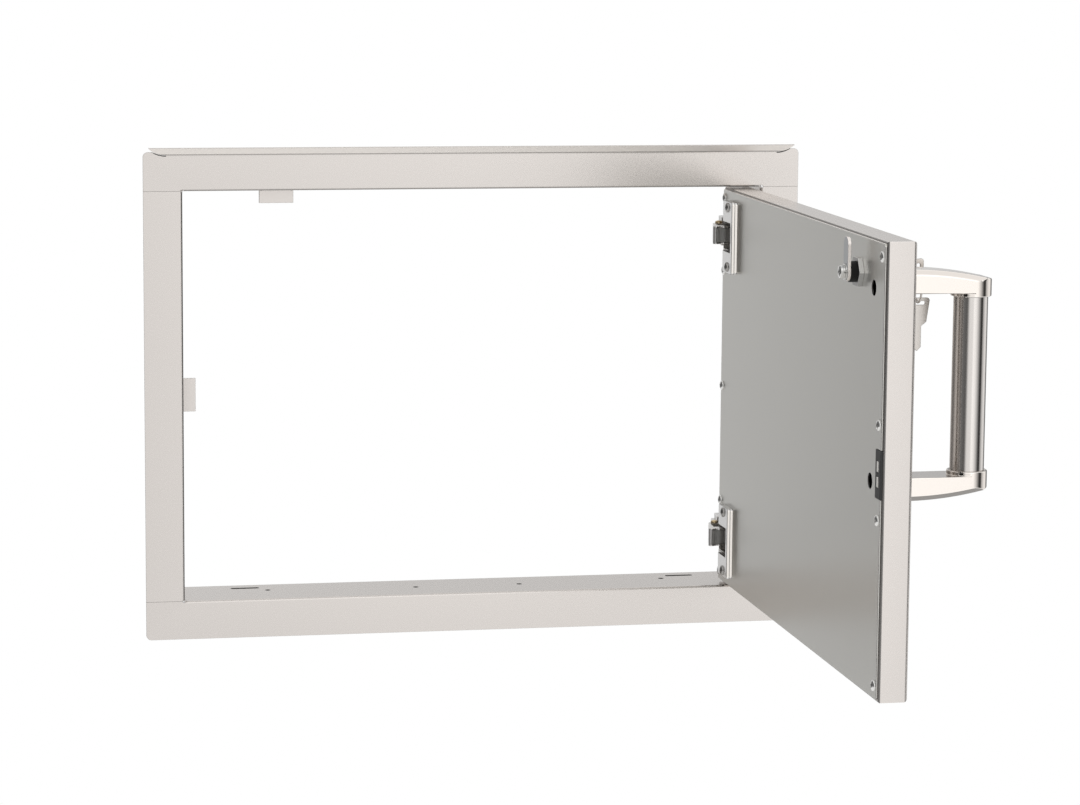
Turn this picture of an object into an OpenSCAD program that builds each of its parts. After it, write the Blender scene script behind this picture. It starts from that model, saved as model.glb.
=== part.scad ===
// Access door for an outdoor kitchen island: a sheet steel frame with a drip lip,
// a double skinned door on two concealed hinges, a bar handle, a cam lock with
// its keys and a magnetic catch. Lengths are in millimetres.
// X runs to the right, Y into the island and Z up. The origin is the centre of
// the opening, on the back of the flange. The door is drawn open at a right angle.

/* [Frame] */
// Clear width of the opening in the frame
opening_w = 516; // [460:2:640]
// Clear height of the opening in the frame
opening_h = 361; // [345:1:480]
// Width of the flange round the opening
flange_w = 34; // [30:0.5:50]
// Thickness of the frame sheet
sheet_t = 1.2; // [1:0.1:1.4]
// Depth from the face of the flange to the back of the frame
frame_depth = 65.3; // [63:0.1:90]
// Outer corner radius of the flange
flange_corner_r = 4.5; // [3:0.5:8]
// Outer radius of the frame bends
frame_bend_r = 2; // [1.8:0.1:2.2]
// Width of the bend relief notch in each inner corner
relief_w = 3.5; // [2.5:0.1:4]
// Height of the bend relief notch in each inner corner
relief_h = 2; // [1.6:0.1:2.4]

/* [Drip lip] */
// Lean of the lip from the face of the flange, in degrees
lip_angle = 36; // [25:1:45]
// Length of the flat of the lip
lip_l = 6.3; // [5:0.1:9]
// Inner bend radius of the lip
lip_bend_r = 2; // [1.5:0.1:3]
// Distance from the top of the flange down to the lip bend
lip_drop = 3.1; // [2.5:0.1:4]
// Distance from the side of the flange in to the end of the lip
lip_end_inset = 4.7; // [4:0.1:8]
// Distance from the side of the flange in to the start of the curved relief
lip_relief_inset = 20; // [17:0.5:26]
// Width of the curved relief
lip_relief_w = 0.7; // [0.5:0.1:1.2]

/* [Frame holes] */
// Length of the two slots in the bottom return
slot_l = 25.5; // [18:0.5:32]
// Width of the two slots
slot_w = 4.8; // [4:0.1:6]
// Distance from a jamb in to the centre of a slot
slot_inset = 58.5; // [50:0.5:62]
// Depth of the slots behind the flange face
slot_depth = 51.5; // [48:0.5:56]
// Diameter of the screw holes in the bottom return
bottom_hole_d = 4.8; // [4:0.1:6]
// Distance from a jamb in to an outer screw hole
outer_hole_inset = 77.7; // [70:0.1:90]
// Depth of the outer screw holes behind the flange face
outer_hole_depth = 40; // [36:0.5:42]
// Spacing of the two middle screw holes
mid_hole_pitch = 94.6; // [80:0.2:160]
// Depth of the middle screw holes behind the flange face
mid_hole_depth = 33.8; // [30:0.1:45]

/* [Strikes] */
// Thickness of the strike sheet
strike_t = 1.2; // [1:0.1:1.4]
// Outer bend radius of the strikes
strike_bend_r = 2.2; // [2:0.1:2.5]
// Width of the lock strike
lock_strike_w = 30; // [24:0.5:36]
// Offset of the lock strike from the cam towards the hinge side
lock_strike_shift = 13; // [10:0.5:15]
// Drop of the lock strike below the top return
lock_strike_drop = 13.3; // [12:0.1:14]
// Depth of the lock strike behind the flange face
lock_strike_depth = 28.5; // [27.5:0.1:29.5]
// Length of the side returns of the lock strike
lock_strike_side = 4; // [3:0.1:4.3]
// Length of the foot of each strike
strike_foot = 13; // [9:0.5:18]
// Reach of the magnet strike from the jamb
magnet_strike_reach = 13; // [11:0.5:14.5]
// Height of the magnet strike
magnet_strike_h = 29.7; // [26:0.1:36]
// Gap between the magnet strike and the closed catch
magnet_gap = 0.3; // [0.2:0.05:0.6]

/* [Door] */
// Gap between the closed door and each jamb
side_gap = 3; // [2.8:0.1:3.2]
// Gap between the door and the frame above and below it
end_gap = 1.6; // [1.2:0.1:2.5]
// Depth of the folded outer skin
pan_depth = 24; // [23.8:0.1:24.2]
// Thickness of the outer skin
skin_t = 1; // [0.8:0.1:1.2]
// Outer radius of the bends round the front of the skin
front_bend_r = 3; // [2.9:0.1:3.5]
// Outer radius of the bends round the back of the skin
back_bend_r = 2; // [1.6:0.1:2.3]
// Width of the lip folded round the back of the skin
pan_lip = 14; // [13:0.5:16]
// Thickness of the liner
liner_t = 1.2; // [1:0.1:1.3]
// Distance from the edge of the door in to the edge of the liner
liner_inset = 1.8; // [1.5:0.1:2.2]
// Corner radius of the liner
liner_corner_r = 3; // [2:0.5:5]
// Width of the crown of the stiffener
stiffener_crown = 40; // [30:1:60]
// Width of each foot of the stiffener
stiffener_foot = 15; // [10:1:20]
// Gap from the ends of the stiffener to the lips of the skin
stiffener_end_gap = 3; // [2:0.5:10]

/* [Screws] */
// Diameter of the pan heads
pan_head_d = 8.7; // [8:0.1:9]
// Height of the pan heads
pan_head_h = 2.1; // [1.8:0.1:2.4]
// Diameter of the pan head shanks
pan_shank_d = 4; // [3.6:0.1:4.2]
// Length of the liner screws
liner_screw_l = 6; // [5:0.5:9]
// Distance from the free edge in to its liner screws
free_screw_inset = 8.5; // [8:0.1:9]
// Distance from the end of the door in to the end screws of the free edge
free_end_inset = 12.4; // [11:0.1:14]
// Spacing of the two middle screws of the free edge
free_mid_pitch = 74; // [60:1:90]
// Distance from the hinge edge in to its liner screws
hinge_screw_inset = 7; // [7:0.1:8]
// Distance from the end of the door in to the end screws of the hinge edge
hinge_end_inset = 9.4; // [8:0.1:10]
// Distance from the end of the door in to the next screws of the hinge edge
hinge_mid_inset = 74.4; // [70:0.2:80]

/* [Hinges] */
// Distance from the end of the door in to the middle of each hinge
hinge_end = 41.9; // [41:0.1:43]
// Distance of the pivot from the hinge jamb
pivot_inset = 14.1; // [14:0.1:14.3]
// Depth of the pivot behind the flange face
pivot_depth = 10.1; // [10:0.1:10.2]
// Diameter of the hinge pin
pin_d = 4; // [3.5:0.1:4.4]
// Radial running clearance of the pin in the arm
pin_play = 0.05; // [0.03:0.01:0.08]
// Radius of the eye of the arm
eye_r = 4.9; // [4.4:0.1:5.1]
// Height of the arm
arm_h = 16; // [14:0.5:18]
// Reach of the arm from the pivot to its far side
arm_reach = 28.9; // [28:0.1:29.3]
// Thickness of the upright leg of the arm
nose_t = 7; // [6:0.1:7.2]
// Distance from the pivot forward to the tips of the lobes
lobe_front = 7.1; // [6.6:0.1:7.2]
// Radius of the lobes on the front of the arm
lobe_r = 3.65; // [3.4:0.05:3.8]
// Distance from the pivot forward to the floor between the lobes
leg_front = 5.6; // [5.2:0.1:6]
// Distance from the pivot back to the rear of the inner leg
leg_back = 2.9; // [2.4:0.1:3]
// Distance from the pivot back to the front of the outer leg
outer_leg_front = 19.9; // [19.8:0.1:20.2]
// Thickness of the outer leg
outer_leg_t = 6; // [5:0.1:6.2]
// Thickness of the leg that is screwed to the base
mount_leg_t = 6; // [5:0.1:6.4]
// Distance from the jamb to the front wall of the base
base_reach = 27; // [26.5:0.1:27.5]
// Depth of the front of the base plate behind the flange face
base_front = 29; // [28.9:0.1:30]
// Depth of the back of the base behind the flange face
base_back = 58; // [56:0.5:60]
// Depth of the front of the base riser behind the flange face
riser_front = 38; // [37:0.5:40]
// Height of the base riser
riser_h = 30; // [26:0.5:32]
// Height of the base plate
base_h = 48; // [46:0.5:50]
// Thickness of the base sheet
base_t = 2.5; // [2:0.1:2.6]
// Diameter of the rivet in the arm
rivet_d = 4.4; // [4:0.1:4.6]
// Diameter of the rivet heads
rivet_head_d = 6.6; // [6:0.1:7]
// Height of the rivet heads
rivet_head_h = 2.6; // [2:0.1:3]
// Wall of the arm left round the insert
insert_wall = 1.3; // [1.1:0.1:1.8]
// Width of the metal strip left at the end of the insert
insert_strip = 3; // [2.5:0.1:3.4]
// Length of the insert
insert_l = 16.6; // [14:0.2:17]
// Wall of the arm left behind the insert
insert_back = 4.6; // [4:0.1:5]
// Gap round the insert
insert_gap = 0.3; // [0.2:0.05:0.4]
// Wall of the hinge cup
cup_t = 0.8; // [0.6:0.1:0.9]
// Gap between the skin and the floor of the cup
cup_gap = 0.4; // [0.3:0.05:0.45]
// Distance from the hinge edge in to the cup
cup_inset = 3; // [2.9:0.1:3.1]
// Length of the cup
cup_l = 41.3; // [41:0.1:41.8]
// Inside height of the cup and of the mouth of the hinge plate
mouth_h = 26; // [24:0.5:28]
// Distance from the hinge edge in to the hinge plate
plate_inset = 21.2; // [21:0.1:22]
// Width of the hinge plate
plate_w = 32; // [31:0.5:36]
// Height of the hinge plate
plate_h = 64; // [62:1:66]
// Depth of the mouth of the hinge plate
mouth_depth = 26.8; // [26.5:0.1:27.5]
// Thickness of the hinge plate and of its spacer
plate_t = 2.65; // [2.3:0.05:2.8]
// Corner radius of the hinge plate
plate_corner_r = 2.5; // [1.5:0.5:3.5]
// Distance from the edge of the hinge plate in to its screws
plate_screw_inset = 16.5; // [15:0.5:17]
// Spacing of the two screws of the hinge plate
plate_screw_pitch = 53; // [51:0.5:54]

/* [Handle] */
// Distance from the free edge in to the handle
handle_inset = 30; // [28:0.5:32]
// Distance from the top of the door down to the handle centre
handle_drop = 113.3; // [111:0.1:124]
// Spacing of the handle screws
handle_pitch = 150; // [148:1:152]
// Distance from the door face to the axis of the tube
tube_off = 52.5; // [48:0.5:60]
// Outer diameter of the tube
tube_d = 26.7; // [24:0.1:27.5]
// Wall of the tube
tube_t = 1.5; // [1.2:0.1:2]
// Radial gap of the tube in its sockets
tube_gap = 0.1; // [0.05:0.05:0.2]
// Width of the arms and diameter of their round ends
handle_arm_w = 31.6; // [30.6:0.2:34]
// Distance from the handle centre to the inner face of an arm
arm_inner = 71.3; // [70.8:0.1:71.5]
// Thickness of an arm at the door
arm_root = 18.6; // [17.5:0.1:20]
// Radius of the arc along the outside of an arm
arm_arc_r = 278; // [240:2:400]
// Bevel round the outside of an arm
arm_bevel = 3.8; // [2.5:0.1:4]
// Height that a round end stands out of the inner face
rim_h = 3.4; // [3:0.1:4]
// Depth of the tube sockets
socket_depth = 10; // [8:0.5:11]
// Diameter of the handle screws
handle_screw_d = 5; // [4.5:0.1:5]
// Length of the handle screws
handle_screw_l = 20; // [16:1:24]
// Diameter of the heads of the handle screws
handle_head_d = 10; // [9:0.1:10.4]
// Height of the heads of the handle screws
handle_head_h = 3.2; // [2.6:0.1:4]
// Outer diameter of the handle washers
handle_washer_d = 12; // [11.2:0.1:12.2]
// Thickness of the handle washers
handle_washer_t = 1.6; // [1.2:0.1:2]
// Diameter of the access holes in the liner
access_hole_d = 12.6; // [12.4:0.1:14]
// Diameter of the set screws in the round ends
set_screw_d = 2.2; // [1.8:0.1:2.4]
// Turn of the set screws from the line to the door, in degrees
set_screw_turn = 57; // [45:1:70]

/* [Lock] */
// Distance from the free edge in to the lock
lock_inset = 69; // [66:0.5:72]
// Distance from the top of the door down to the lock
lock_drop = 29.9; // [29.5:0.1:31]
// Diameter of the lock head
lock_head_d = 24; // [22:0.5:24]
// Height of the lock head
lock_head_h = 3; // [2.6:0.1:4]
// Bevel of the lock head
lock_head_bevel = 1; // [0.6:0.1:1.4]
// Diameter of the lock barrel
barrel_d = 16.5; // [15.5:0.1:17]
// Width across the flats of the lock nut
nut_flats = 22; // [20:0.5:23]
// Thickness of the lock nut
nut_t = 4; // [3.5:0.1:4.4]
// Length of the barrel that shows behind the nut
barrel_end = 5; // [4.6:0.1:5.6]
// Diameter of the plug
plug_d = 11; // [10:0.1:11.4]
// Radial running clearance of the plug
plug_play = 0.05; // [0.03:0.01:0.08]
// Height that the plug stands out of the head
plug_proud = 0.3; // [0.2:0.1:0.8]
// Side of the square tail of the plug
tail_side = 7; // [6.4:0.1:7.4]
// Thickness of the cam
cam_t = 2.6; // [2.2:0.1:2.8]
// Width of the cam
cam_w = 12.5; // [11.5:0.1:12.8]
// Reach of the cam from its axis
cam_reach = 27.3; // [26:0.1:28]
// Radius of the boss end of the cam
cam_boss_r = 7.2; // [6.8:0.1:7.6]
// Diameter of the flat washer on the cam
cam_washer_d = 13; // [12:0.1:13.4]
// Thickness of the flat washer on the cam
cam_washer_t = 1.2; // [1:0.1:1.5]
// Diameter of the spring washer
spring_washer_d = 10.6; // [10:0.1:11]
// Thickness of the spring washer
spring_washer_t = 1.6; // [1.2:0.1:2]
// Width of the split in the spring washer
spring_split_w = 1; // [0.6:0.1:1.5]
// Diameter of the cam screw
cam_screw_d = 4.4; // [4:0.1:4.6]
// Length of the cam screw
cam_screw_l = 12; // [10:0.5:14]
// Diameter of the head of the cam screw
cam_head_d = 11.5; // [10.5:0.1:12]
// Height of the head of the cam screw
cam_head_h = 3.3; // [2.8:0.1:3.6]

/* [Keys] */
// Thickness of a key
key_t = 2; // [1.8:0.1:2.2]
// Length of the bow of a key
bow_l = 19.1; // [18.5:0.1:20.5]
// Width of the bow of a key at its end
bow_w = 19.4; // [18.4:0.2:21]
// Width of the bow of a key next to its shoulders
bow_neck_w = 14.6; // [13:0.2:16]
// Corner radius of the bow
bow_r = 2.4; // [1.6:0.1:3]
// Width of the blade
blade_w = 6.4; // [5.8:0.1:7]
// Length of the blade
blade_l = 23; // [22.4:0.2:25]
// Gap between the bow and the plug
bow_gap = 3.6; // [3:0.1:4.4]
// Distance from the end of the bow to the middle of its slot
key_slot_end = 4.2; // [3.6:0.1:5]
// Length of the slot in the bow
key_slot_l = 12; // [10:0.2:12.6]
// Width of the slot in the bow
key_slot_w = 2.9; // [2.6:0.1:3.2]
// Diameter of the keyway relief over the key
keyway_gap = 0.2; // [0.15:0.05:0.3]
// Depth of the cuts in the blade
bit_depth = 1.4; // [0.8:0.1:1.8]
// Spacing of the cuts in the blade
bit_pitch = 3.8; // [3.4:0.1:3.9]
// Distance from the bow to the first cut
bit_start = 5.6; // [5:0.1:6]
// Radius of the key ring to the middle of its wire
ring_r = 10; // [9:0.1:10.6]
// Diameter of the wire of the key ring
ring_wire_d = 1.6; // [1.4:0.1:1.8]
// Gap between the ring and the keys that it carries
ring_gap = 0.3; // [0.2:0.05:0.4]

/* [Catch] */
// Width of the catch housing
catch_w = 12.7; // [12:0.1:13]
// Height of the catch housing
catch_h = 38; // [36:0.5:42]
// Depth of the catch housing
catch_depth = 13.8; // [12.5:0.1:16]
// Distance from the free edge in to the catch housing
catch_inset = 1.5; // [1.4:0.1:1.8]
// Drop of the middle of the catch below the middle of the door
catch_drop = 1; // [0:0.5:5]
// Height that the housing stands out of the liner
catch_proud = 0.6; // [0.4:0.1:0.9]
// Height that the pole plates stand out of the housing
pole_proud = 0.2; // [0.1:0.05:0.3]
// Height of each pole plate
pole_h = 8.2; // [7:0.1:9]
// Thickness of each pole plate
pole_t = 4.6; // [3.6:0.1:5.2]
// Spacing of the two pole plates
pole_pitch = 12; // [11:0.5:14]
// Length of each pole plate
pole_l = 6.5; // [5.5:0.1:7]
// Width of the magnet
magnet_w = 8; // [7:0.1:8.4]
// Height of the magnet
magnet_h = 25; // [22:0.5:28]
// Thickness of the magnet
magnet_t = 5.5; // [4.5:0.1:6]
// Gap round the pieces of the catch
catch_gap = 0.3; // [0.2:0.05:0.4]
// Reach of the snap ears of the catch
ear_reach = 3; // [2:0.1:4]
// Thickness of the snap ears of the catch
ear_t = 1.4; // [1:0.1:2]

/* [Hidden] */
// Overrun of every cut past the faces that it opens
over = 1;
// Gap round screws and pieces that pass through a hole
hole_gap = 0.15;
// Gap between pieces that lie close to each other
seat_gap = 0.3;
// Facets of large, middle and small circles
large_fn = 96;
round_fn = 48;
small_fn = 28;
// Facets of the long arc of the handle arms
arc_fn = 360;

// Outline of a pan head: shares of its radius and of its height
pan_head_shares = [[1, 0], [1, 0.3], [0.94, 0.55], [0.78, 0.8], [0.5, 0.95], [0, 1]];
// Cross recess: shares of the head radius for width and reach, of the height for depth
cross_width_share = 0.2;
cross_reach_share = 0.56;
cross_depth_share = 0.55;
// Inner radius of the ring that cuts the arc of a handle arm, as a share of that arc
arc_core_share = 0.8;
// Cuts in the blade: shares of the cut depth, from the bow to the tip
bit_shares = [0.6, 1, 0.4, 0.8];

outer_w = opening_w + 2 * flange_w;
outer_h = opening_h + 2 * flange_w;
face_y = -sheet_t;
back_y = face_y + frame_depth;
jamb_x = opening_w / 2;
head_z = opening_h / 2;

lip_root_z = outer_h / 2 - lip_drop;
lip_top_z = lip_root_z + lip_bend_r * sin(lip_angle) + lip_l * cos(lip_angle);
lip_end_x = outer_w / 2 - lip_end_inset;
lip_relief_x = outer_w / 2 - lip_relief_inset;
lip_relief_dx = lip_end_x - lip_relief_x;
lip_relief_dz = lip_top_z - lip_root_z;
lip_relief_r = (lip_relief_dx * lip_relief_dx + lip_relief_dz * lip_relief_dz) / (2 * lip_relief_dz);
lip_cover = lip_drop + lip_l + lip_bend_r;

door_w = opening_w - 2 * side_gap;
door_h = opening_h - 2 * end_gap;
liner_v = pan_depth;
inner_v = pan_depth + liner_t;
pivot_x = jamb_x - pivot_inset;
pivot_y = face_y + pivot_depth;
pivot_u = pivot_inset - side_gap;
pivot_v = pivot_depth;
hinge_z = door_h / 2 - hinge_end;
open_face_x = pivot_x + pivot_v;
open_edge_y = pivot_y + pivot_u;

pin_r = pin_d / 2;
leg_l = arm_reach - 2 * lobe_r;
base_wall = base_reach - pivot_inset;
mount_b = (riser_front + base_back) / 2 - pivot_depth;
base_screw_z = (riser_h + base_h) / 4;
base_screw_d = 7.2;
base_screw_h = 2;
cup_u1 = cup_inset + cup_l;
cup_half = mouth_h / 2 + cup_t;
cup_hole_half = cup_half + seat_gap;
plate_face_v = inner_v + 2 * plate_t;
plate_screw_u = plate_inset + plate_screw_inset;

handle_u = door_w - handle_inset;
handle_z = door_h / 2 - handle_drop;
boss_r = handle_arm_w / 2;
arm_outer = arm_inner + arm_root;
arm_end = tube_off + boss_r;
arm_end_drop = arm_arc_r - sqrt(arm_arc_r * arm_arc_r - arm_end * arm_end);
boss_inner = arm_inner - rim_h;
socket_end = boss_inner + socket_depth;
tube_half = socket_end - seat_gap;

lock_u = door_w - lock_inset;
lock_z = door_h / 2 - lock_drop;
barrel_r = barrel_d / 2;
cam_v = inner_v + nut_t + barrel_end + hole_gap;
cam_back_v = cam_v + cam_t;
screw_head_v = cam_back_v + cam_washer_t + spring_washer_t;
plug_face_v = -lock_head_h - plug_proud;
bow_end_v = plug_face_v - bow_gap - bow_l;
blade_tip_v = plug_face_v - bow_gap + blade_l;
key_slot_v = bow_end_v + key_slot_end;
ring_wire_r = ring_wire_d / 2;
ring_z = lock_z - key_slot_l / 2 + ring_gap - ring_r + ring_wire_r;
spare_slot_z = ring_z - ring_r + ring_wire_r + ring_gap - key_slot_w / 2;
spare_top_z = spare_slot_z + key_slot_end;

catch_v1 = inner_v + catch_proud;
catch_v0 = catch_v1 - catch_depth;
catch_u1 = door_w - catch_inset;
catch_u0 = catch_u1 - catch_w;
catch_u = (catch_u0 + catch_u1) / 2;
magnet_v0 = catch_v0 + catch_gap;
magnet_v1 = magnet_v0 + magnet_t;
pole_v1 = catch_v1 + pole_proud;
pole_v0 = pole_v1 - pole_l;
magnet_strike_depth = pole_v1 + magnet_gap;
lock_strike_x = jamb_x - side_gap - lock_u + lock_strike_shift;

// Sub-part to show, or all of them

// A box between two corners
module box(x0, x1, y0, y1, z0, z1) {
  translate([x0, y0, z0]) cube([x1 - x0, y1 - y0, z1 - z0]);
}

// An outline with its first axis up and its second axis back, drawn along X
module along_x(l) {
  rotate([0, -90, 0]) linear_extrude(l, center = true) children();
}

// An outline in the upright plane, given a thickness back from y0
module plate_y(y0, t) {
  translate([0, y0 + t, 0]) rotate([90, 0, 0]) linear_extrude(t) children();
}

// A round bar along Y
module bar_y(x, z, r, y0, y1, fn = small_fn) {
  translate([x, y0, z]) rotate([-90, 0, 0]) cylinder(r = r, h = y1 - y0, $fn = fn);
}

// A centred rectangle with round corners
module round_rect(w, h, r, fn = small_fn) {
  square([w - 2 * r, h], center = true);
  square([w, h - 2 * r], center = true);
  for (sx = [-1, 1], sy = [-1, 1])
    translate([sx * (w / 2 - r), sy * (h / 2 - r)]) circle(r = r, $fn = fn);
}

// A centred slot with round ends
module slot_shape(l, w) {
  square([l - w, w], center = true);
  for (s = [-1, 1]) translate([s * (l - w) / 2, 0]) circle(r = w / 2, $fn = small_fn);
}

// A screw with its seat at zero, its head up and its shank down
module pan_screw(head_r, head_h, shank_r, shank_l) {
  reach = head_r * cross_reach_share;
  half = head_r * cross_width_share / 2;
  depth = head_h * cross_depth_share;
  difference() {
    union() {
      rotate_extrude($fn = small_fn)
        polygon([for (p = concat([[0, 0]], pan_head_shares)) [head_r * p[0], head_h * p[1]]]);
      translate([0, 0, -shank_l]) cylinder(r = shank_r, h = shank_l + head_h * pan_head_shares[1][1], $fn = small_fn);
    }
    box(-reach, reach, -half, half, head_h - depth, head_h + over);
    box(-half, half, -reach, reach, head_h - depth, head_h + over);
  }
}

// A sheet folded once: width w on the flange, depth d on the return
module fold_profile(w, d, t, r) {
  translate([r, 0]) square([w - r, t]);
  translate([0, r]) square([t, d - r]);
  translate([r, r]) intersection() {
    difference() {
      circle(r = r, $fn = round_fn);
      circle(r = r - t, $fn = round_fn);
    }
    translate([-r, -r]) square([r, r]);
  }
}

// Door pieces are drawn closed: X from the hinge edge, Y from the outer face, Z up
module in_door() {
  translate([open_face_x, open_edge_y, 0]) rotate([0, 0, 90]) mirror([1, 0, 0]) children();
}

// Hinge pieces of the frame: X away from the jamb and Y back, both from the pivot
module at_pivot(z) {
  translate([pivot_x, pivot_y, z]) mirror([1, 0, 0]) children();
}

// Flange of a rail above the opening, without its bend
module rail_flange() {
  difference() {
    union() {
      translate([-outer_w / 2, head_z]) square([outer_w, flange_w - flange_corner_r]);
      translate([-outer_w / 2 + flange_corner_r, head_z])
        square([outer_w - 2 * flange_corner_r, flange_w]);
      for (s = [-1, 1])
        translate([s * (outer_w / 2 - flange_corner_r), outer_h / 2 - flange_corner_r])
          circle(r = flange_corner_r, $fn = round_fn);
    }
    translate([-jamb_x, head_z - over]) square([opening_w, frame_bend_r + over]);
  }
}

// Bend and return of a rail above the opening
module rail_return() {
  translate([0, face_y, head_z]) {
    along_x(opening_w) difference() {
      fold_profile(flange_w / 2, frame_depth, sheet_t, frame_bend_r);
      translate([frame_bend_r, -over]) square([flange_w, sheet_t + 2 * over]);
    }
    along_x(opening_w + 2 * sheet_t)
      translate([0, frame_bend_r + relief_w]) square([sheet_t, frame_depth - frame_bend_r - relief_w]);
  }
}

// Bend relief notches in the two inner corners of a rail
module rail_reliefs() {
  for (s = [-1, 1])
    box(s * jamb_x - relief_w / 2, s * jamb_x + relief_w / 2, face_y - over, face_y + frame_bend_r,
        head_z - over, head_z + relief_h / 2);
}

// Folded section of the drip lip: first axis up, second axis back
module lip_section() {
  translate([0, -lip_bend_r]) {
    intersection() {
      difference() {
        circle(r = lip_bend_r + sheet_t, $fn = round_fn);
        circle(r = lip_bend_r, $fn = round_fn);
      }
      polygon([[0, 0], [0, 2 * lip_cover], [2 * lip_cover * tan(lip_angle), 2 * lip_cover]]);
    }
    rotate(-lip_angle) translate([0, lip_bend_r]) square([lip_l, sheet_t]);
  }
}

// Front view of the lip, or of the space that it leaves in the flange
module lip_front(extra) {
  translate([-lip_relief_x, lip_root_z]) square([2 * lip_relief_x, 2 * lip_cover]);
  for (s = [-1, 1]) intersection() {
    translate([s * lip_relief_x, lip_root_z + lip_relief_r]) circle(r = lip_relief_r + extra, $fn = large_fn);
    translate([s > 0 ? lip_relief_x : -lip_relief_x - lip_relief_inset, lip_root_z - extra])
      square([lip_relief_inset, 2 * lip_cover]);
  }
}

// Top rail of the frame, with the drip lip folded forward along its top
module frame_top_rail() {
  color([0.8, 0.79, 0.77]) difference() {
    union() {
      plate_y(face_y, sheet_t) difference() {
        rail_flange();
        lip_front(lip_relief_w);
      }
      rail_return();
      intersection() {
        translate([0, face_y, lip_root_z]) along_x(2 * lip_end_x) lip_section();
        plate_y(face_y - lip_cover, 2 * lip_cover) lip_front(0);
      }
    }
    rail_reliefs();
  }
}

// Bottom rail of the frame, with its slots and screw holes
module frame_bottom_rail() {
  color([0.8, 0.79, 0.77]) difference() {
    mirror([0, 0, 1]) {
      difference() {
        union() {
          plate_y(face_y, sheet_t) rail_flange();
          rail_return();
        }
        rail_reliefs();
      }
    }
    for (s = [-1, 1]) {
      translate([s * (jamb_x - slot_inset), face_y + slot_depth, -head_z - sheet_t - over])
        linear_extrude(sheet_t + 2 * over) slot_shape(slot_l, slot_w);
      translate([s * (jamb_x - outer_hole_inset), face_y + outer_hole_depth, -head_z - sheet_t - over])
        cylinder(d = bottom_hole_d, h = sheet_t + 2 * over, $fn = round_fn);
      translate([s * mid_hole_pitch / 2, face_y + mid_hole_depth, -head_z - sheet_t - over])
        cylinder(d = bottom_hole_d, h = sheet_t + 2 * over, $fn = round_fn);
    }
  }
}

// Stile of the frame on the right of the opening
module stile() {
  difference() {
    translate([jamb_x, face_y, 0]) linear_extrude(opening_h, center = true)
      fold_profile(flange_w, frame_depth, sheet_t, frame_bend_r);
    for (s = [-1, 1])
      box(jamb_x - over, jamb_x + relief_w / 2, face_y - over, face_y + frame_bend_r,
          s > 0 ? head_z - relief_h / 2 : -head_z - over, s > 0 ? head_z + over : -head_z + relief_h / 2);
  }
}

module frame_left_stile() {
  color([0.8, 0.79, 0.77]) mirror([1, 0, 0]) stile();
}

module frame_right_stile() {
  color([0.8, 0.79, 0.77]) difference() {
    stile();
    for (h = [-1, 1], s = [-1, 1])
      translate([jamb_x - over, face_y + base_front + base_h / 4, h * hinge_z + s * base_screw_z])
        rotate([0, 90, 0]) cylinder(d = pan_shank_d + 2 * hole_gap, h = sheet_t + 2 * over, $fn = small_fn);
  }
}

// Strike behind which the cam turns, folded down from a foot under the top return
module lock_strike_tab() {
  color([0.8, 0.79, 0.77]) translate([lock_strike_x, face_y + lock_strike_depth, head_z]) {
    mirror([0, 0, 1]) {
      along_x(lock_strike_w - 2 * strike_bend_r)
        fold_profile(lock_strike_drop, strike_foot, strike_t, strike_bend_r);
      translate([0, 0, strike_bend_r])
        linear_extrude(lock_strike_drop - strike_bend_r) lock_strike_sides();
    }
  }
}

// Plan of the lock strike with both of its sides folded back
module lock_strike_sides() {
  for (m = [0, 1]) mirror([m, 0, 0])
    translate([lock_strike_w / 2, 0]) mirror([1, 0, 0])
      fold_profile(lock_strike_w / 2, lock_strike_side, strike_t, strike_bend_r);
}

// Strike for the magnetic catch, folded out from a foot on the left jamb
module magnet_strike_tab() {
  color([0.8, 0.79, 0.77]) translate([-jamb_x, face_y + magnet_strike_depth, -catch_drop])
    linear_extrude(magnet_strike_h, center = true)
      fold_profile(magnet_strike_reach, strike_foot, strike_t, strike_bend_r);
}

// Section of the folded skin: front corners and back corners have their own radii
module pan_section(w, d, rf, rb) {
  translate([-w / 2 + rf, 0]) square([w - 2 * rf, rf]);
  translate([-w / 2, rf]) square([w, d - rf - rb]);
  translate([-w / 2 + rb, d - rb]) square([w - 2 * rb, rb]);
  for (s = [-1, 1]) {
    translate([s * (w / 2 - rf), rf]) circle(r = rf, $fn = round_fn);
    translate([s * (w / 2 - rb), d - rb]) circle(r = rb, $fn = round_fn);
  }
}

// Solid with the bends of the folded skin, drawn in by an inset
module pan_solid(inset) {
  w = door_w - 2 * inset;
  h = door_h - 2 * inset;
  d = pan_depth - 2 * inset;
  translate([door_w / 2, inset, 0]) intersection() {
    linear_extrude(h, center = true) pan_section(w, d, front_bend_r - inset, back_bend_r - inset);
    rotate([0, -90, 0]) linear_extrude(w, center = true)
      pan_section(h, d, front_bend_r - inset, back_bend_r - inset);
  }
}

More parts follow.
